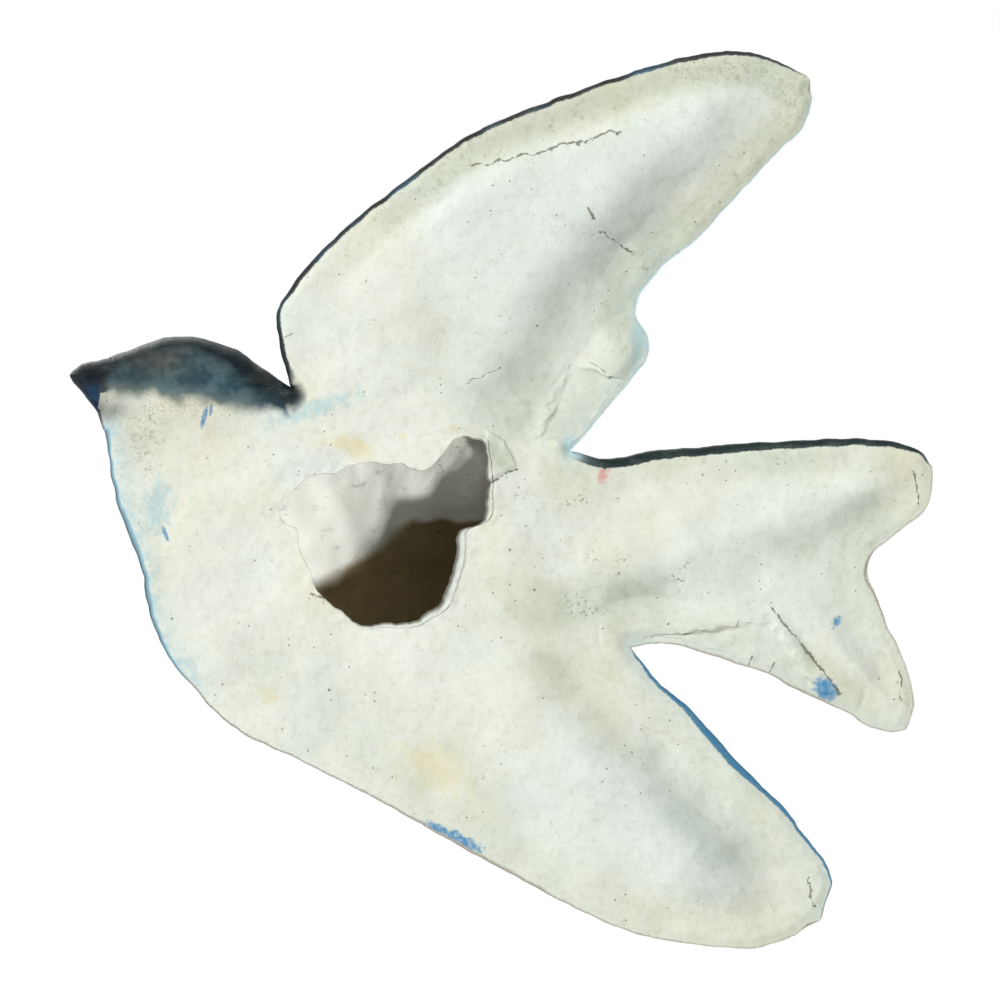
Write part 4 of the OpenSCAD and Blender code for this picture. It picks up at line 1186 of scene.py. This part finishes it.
def finish_material(name, groups, gloss):
    """Plaster that is bare at the back and in the hollow, and painted on the front, with the paint
    reaching over the rim as far as the piece's rim value says."""
    material = bpy.data.materials.new(name)
    material.use_nodes = True
    material.node_tree.nodes.clear()
    b = Tree(material.node_tree)

    def value(key):
        return b.add("ShaderNodeAttribute", attribute_name=key).outputs["Fac"]

    tint = b.add("ShaderNodeAttribute", attribute_name="tint").outputs["Color"]
    place = b.vector("SCALE", b.add("ShaderNodeTexCoord").outputs["Object"], 1000.0)
    inset, soft, front = value("inset"), value("soft"), value("front")
    grime_and_shade, shade_and_dust, cool = value("grime_and_shade"), value("shade_and_dust"), value("cool")
    plaster = b.group(groups["plaster"], Place=place, Grime=grime_and_shade, Dull=shade_and_dust, Cool=cool)
    haze = b.times(value("haze"), b.ramp(b.noise(place, 0.3, 5.0, 0.7), 0.3, 0.7))
    hazed = b.blend(haze, plaster["Color"], srgb(176, 208, 214))
    marked = b.group(groups["marks"], Place=place, Color=hazed)
    paint = b.group(groups["paint"], Place=place, Tint=tint, Groove=value("groove"), Relief=value("relief"),
                    Barb=value("barb"), Inset=inset)
    tear = b.times(b.minus(b.noise(place, 0.9, 5.0, 0.7), 0.5), b.math("MULTIPLY_ADD", soft, 0.35, 0.8))
    drift = b.times(b.minus(b.noise(place, 0.2, 3.0, 0.5), 0.5), b.times(soft, 1.6))
    covered = b.ramp(b.plus(value("rim"), b.plus(tear, drift)), b.times(soft, -1.0), soft)
    painted = b.times(covered, b.minus(1.0, paint["Bare"]))
    inside = b.math("LESS_THAN", front, -0.5)
    drawn_out = b.vector("MULTIPLY", place, (0.2, 0.2, 0.42))
    lines = b.ramp(b.noise(drawn_out, 1.0, 6.0, 0.75), 0.58, 0.7, 0.0, 0.42)
    inner = b.blend(0.8, plaster["Color"], srgb(234, 233, 226))
    scraped = b.blend(lines, inner, srgb(160, 158, 150), "MULTIPLY")
    # Painted shadow: brown in the lower hollow, as far as the shade value reaches
    painted_hollow_shadow = b.blend(value("shade"), scraped, srgb(150, 130, 96), "MULTIPLY")
    aged = b.blend(inside, marked["Color"], painted_hollow_shadow)
    shader = b.add("ShaderNodeBsdfPrincipled")
    b.put(shader.inputs["Base Color"], b.blend(painted, aged, paint["Color"]))
    step = b.minus(paint["Roughness"], plaster["Roughness"])
    b.put(shader.inputs["Roughness"], b.plus(b.times(painted, step), plaster["Roughness"]))
    shader.inputs["Specular IOR Level"].default_value = gloss
    bump = b.add("ShaderNodeBump")
    bump.inputs["Distance"].default_value = 0.6 * MM
    bump.inputs["Strength"].default_value = 0.55
    cracks = b.times(marked["Crack"], b.minus(1.0, inside))
    rough = b.minus(plaster["Height"], b.plus(cracks, b.times(inside, lines)))
    height = b.plus(b.times(rough, b.minus(1.0, b.times(painted, 0.6))),
                    b.times(painted, b.plus(paint["Height"], 0.25)))
    b.put(bump.inputs["Height"], height)
    b.put(shader.inputs["Normal"], bump.outputs["Normal"])
    b.put(b.add("ShaderNodeOutputMaterial").inputs["Surface"], shader.outputs[0])
    return material


# Light and view
AMBIENT = 0.22
KEY_WATTS = 245.0
KEY_PLACE = (-2.75, 4.0, -1.25)
FILL_WATTS = 14.0
FILL_PLACE = (0.5, -1.1, 0.7)
VIEW_CENTRE = (-8.25 * MM, -3.5 * MM, -17.25 * MM)
VIEW_WIDTH = 250 * MM
LENS = 150.0
SENSOR = 36.0


def stage():
    """A pale round floor below the figure, and a white world that the camera and gloss see at full
    strength and the figure at a plain level."""
    bpy.ops.mesh.primitive_circle_add(vertices=96, radius=0.45, fill_type="NGON", location=(0, 0, -0.8))
    floor = bpy.context.object
    floor.name = "floor"
    pale = bpy.data.materials.new("pale floor")
    pale.use_nodes = True
    shader = pale.node_tree.nodes["Principled BSDF"]
    shader.inputs["Base Color"].default_value = (0.9, 0.9, 0.9, 1)
    shader.inputs["Roughness"].default_value = 0.9
    floor.data.materials.append(pale)
    world = bpy.data.worlds.new("studio")
    bpy.context.scene.world = world
    world.use_nodes = True
    b = Tree(world.node_tree)
    b.tree.nodes.clear()
    path = b.add("ShaderNodeLightPath").outputs
    seen = b.larger(path["Is Camera Ray"], b.larger(path["Is Glossy Ray"], path["Is Transmission Ray"]))
    light = b.add("ShaderNodeBackground")
    light.inputs["Color"].default_value = (1, 1, 1, 1)
    b.put(light.inputs["Strength"], b.math("MULTIPLY_ADD", seen, 1 - AMBIENT, AMBIENT))
    b.put(b.add("ShaderNodeOutputWorld").inputs["Surface"], light.outputs[0])


def lamp(name, watts, size, place):
    """A square lamp at place, turned to the middle of the figure."""
    data = bpy.data.lights.new(name, "AREA")
    data.energy = watts
    data.size = size
    lamp_object = bpy.data.objects.new(name, data)
    bpy.context.scene.collection.objects.link(lamp_object)
    lamp_object.location = place
    lamp_object.rotation_euler = (Vector(VIEW_CENTRE) - Vector(place)).to_track_quat("-Z", "Y").to_euler()


def camera():
    """A long lens square on to the back, framed as the photograph is."""
    data = bpy.data.cameras.new("camera")
    data.lens = LENS
    data.sensor_width = SENSOR
    view = bpy.data.objects.new("camera", data)
    bpy.context.scene.collection.objects.link(view)
    distance = VIEW_WIDTH * LENS / SENSOR
    view.location = (VIEW_CENTRE[0], VIEW_CENTRE[1] + distance, VIEW_CENTRE[2])
    view.rotation_euler = (math.radians(90), 0, math.radians(180))
    bpy.context.scene.camera = view


bpy.context.scene.view_settings.view_transform = "Standard"
camera()
stage()
lamp("key", KEY_WATTS, 0.42, KEY_PLACE)
lamp("front fill", FILL_WATTS, 0.9, FILL_PLACE)

groups = {
    "plaster": plaster_group(pinhole_group()),
    "marks": marks_group(dab_group(), hairline_group()),
    "paint": paint_group(),
}
bare = finish_material("bare cast plaster", groups, 0.12)
body_paint = finish_material("sprayed breast", groups, 0.2)
head_paint = finish_material("sprayed head", groups, 0.12)
beak_paint = finish_material("sprayed beak", groups, 0.12)
wing_paint = finish_material("sprayed wings", groups, 0.2)
tail_paint = finish_material("sprayed tail", groups, 0.2)
smeared = finish_material("smeared plaster", groups, 0.12)

PIECES = [
    (back_skin(), "back_skin", bare, "bare_plaster"),
    (breast_shell(), "breast_shell", body_paint, "painted_body"),
    (head(), "head", head_paint, "painted_head"),
    (beak(), "beak", beak_paint, "painted_beak"),
    (wing("upper_wing_cast", UPPER_LEAD, UPPER_TRAIL, UPPER_BOW), "upper_wing", wing_paint, "painted_wings"),
    (wing("lower_wing_cast", LOWER_LEAD, LOWER_TRAIL, LOWER_BOW), "lower_wing", wing_paint, "painted_wings"),
    (tail_lobe("upper_tail_cast", 0, FORK, UPPER_TAIL_COLS), "upper_tail_lobe", tail_paint, "painted_tail"),
    (tail_lobe("lower_tail_cast", FORK, 1, LOWER_TAIL_COLS), "lower_tail_lobe", tail_paint, "painted_tail"),
    (smear("wing_smear", WING_SMEAR_IN, WING_SMEAR_OUT, 61), "wing_root_smear", smeared, "smeared_plaster"),
    (smear("tail_smear", TAIL_SMEAR_IN, TAIL_SMEAR_OUT, 71), "tail_edge_smear", smeared, "smeared_plaster"),
]
for piece, node, material, slot in PIECES:
    piece.data.materials.append(material)
    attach(piece, "root")
    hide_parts(node)
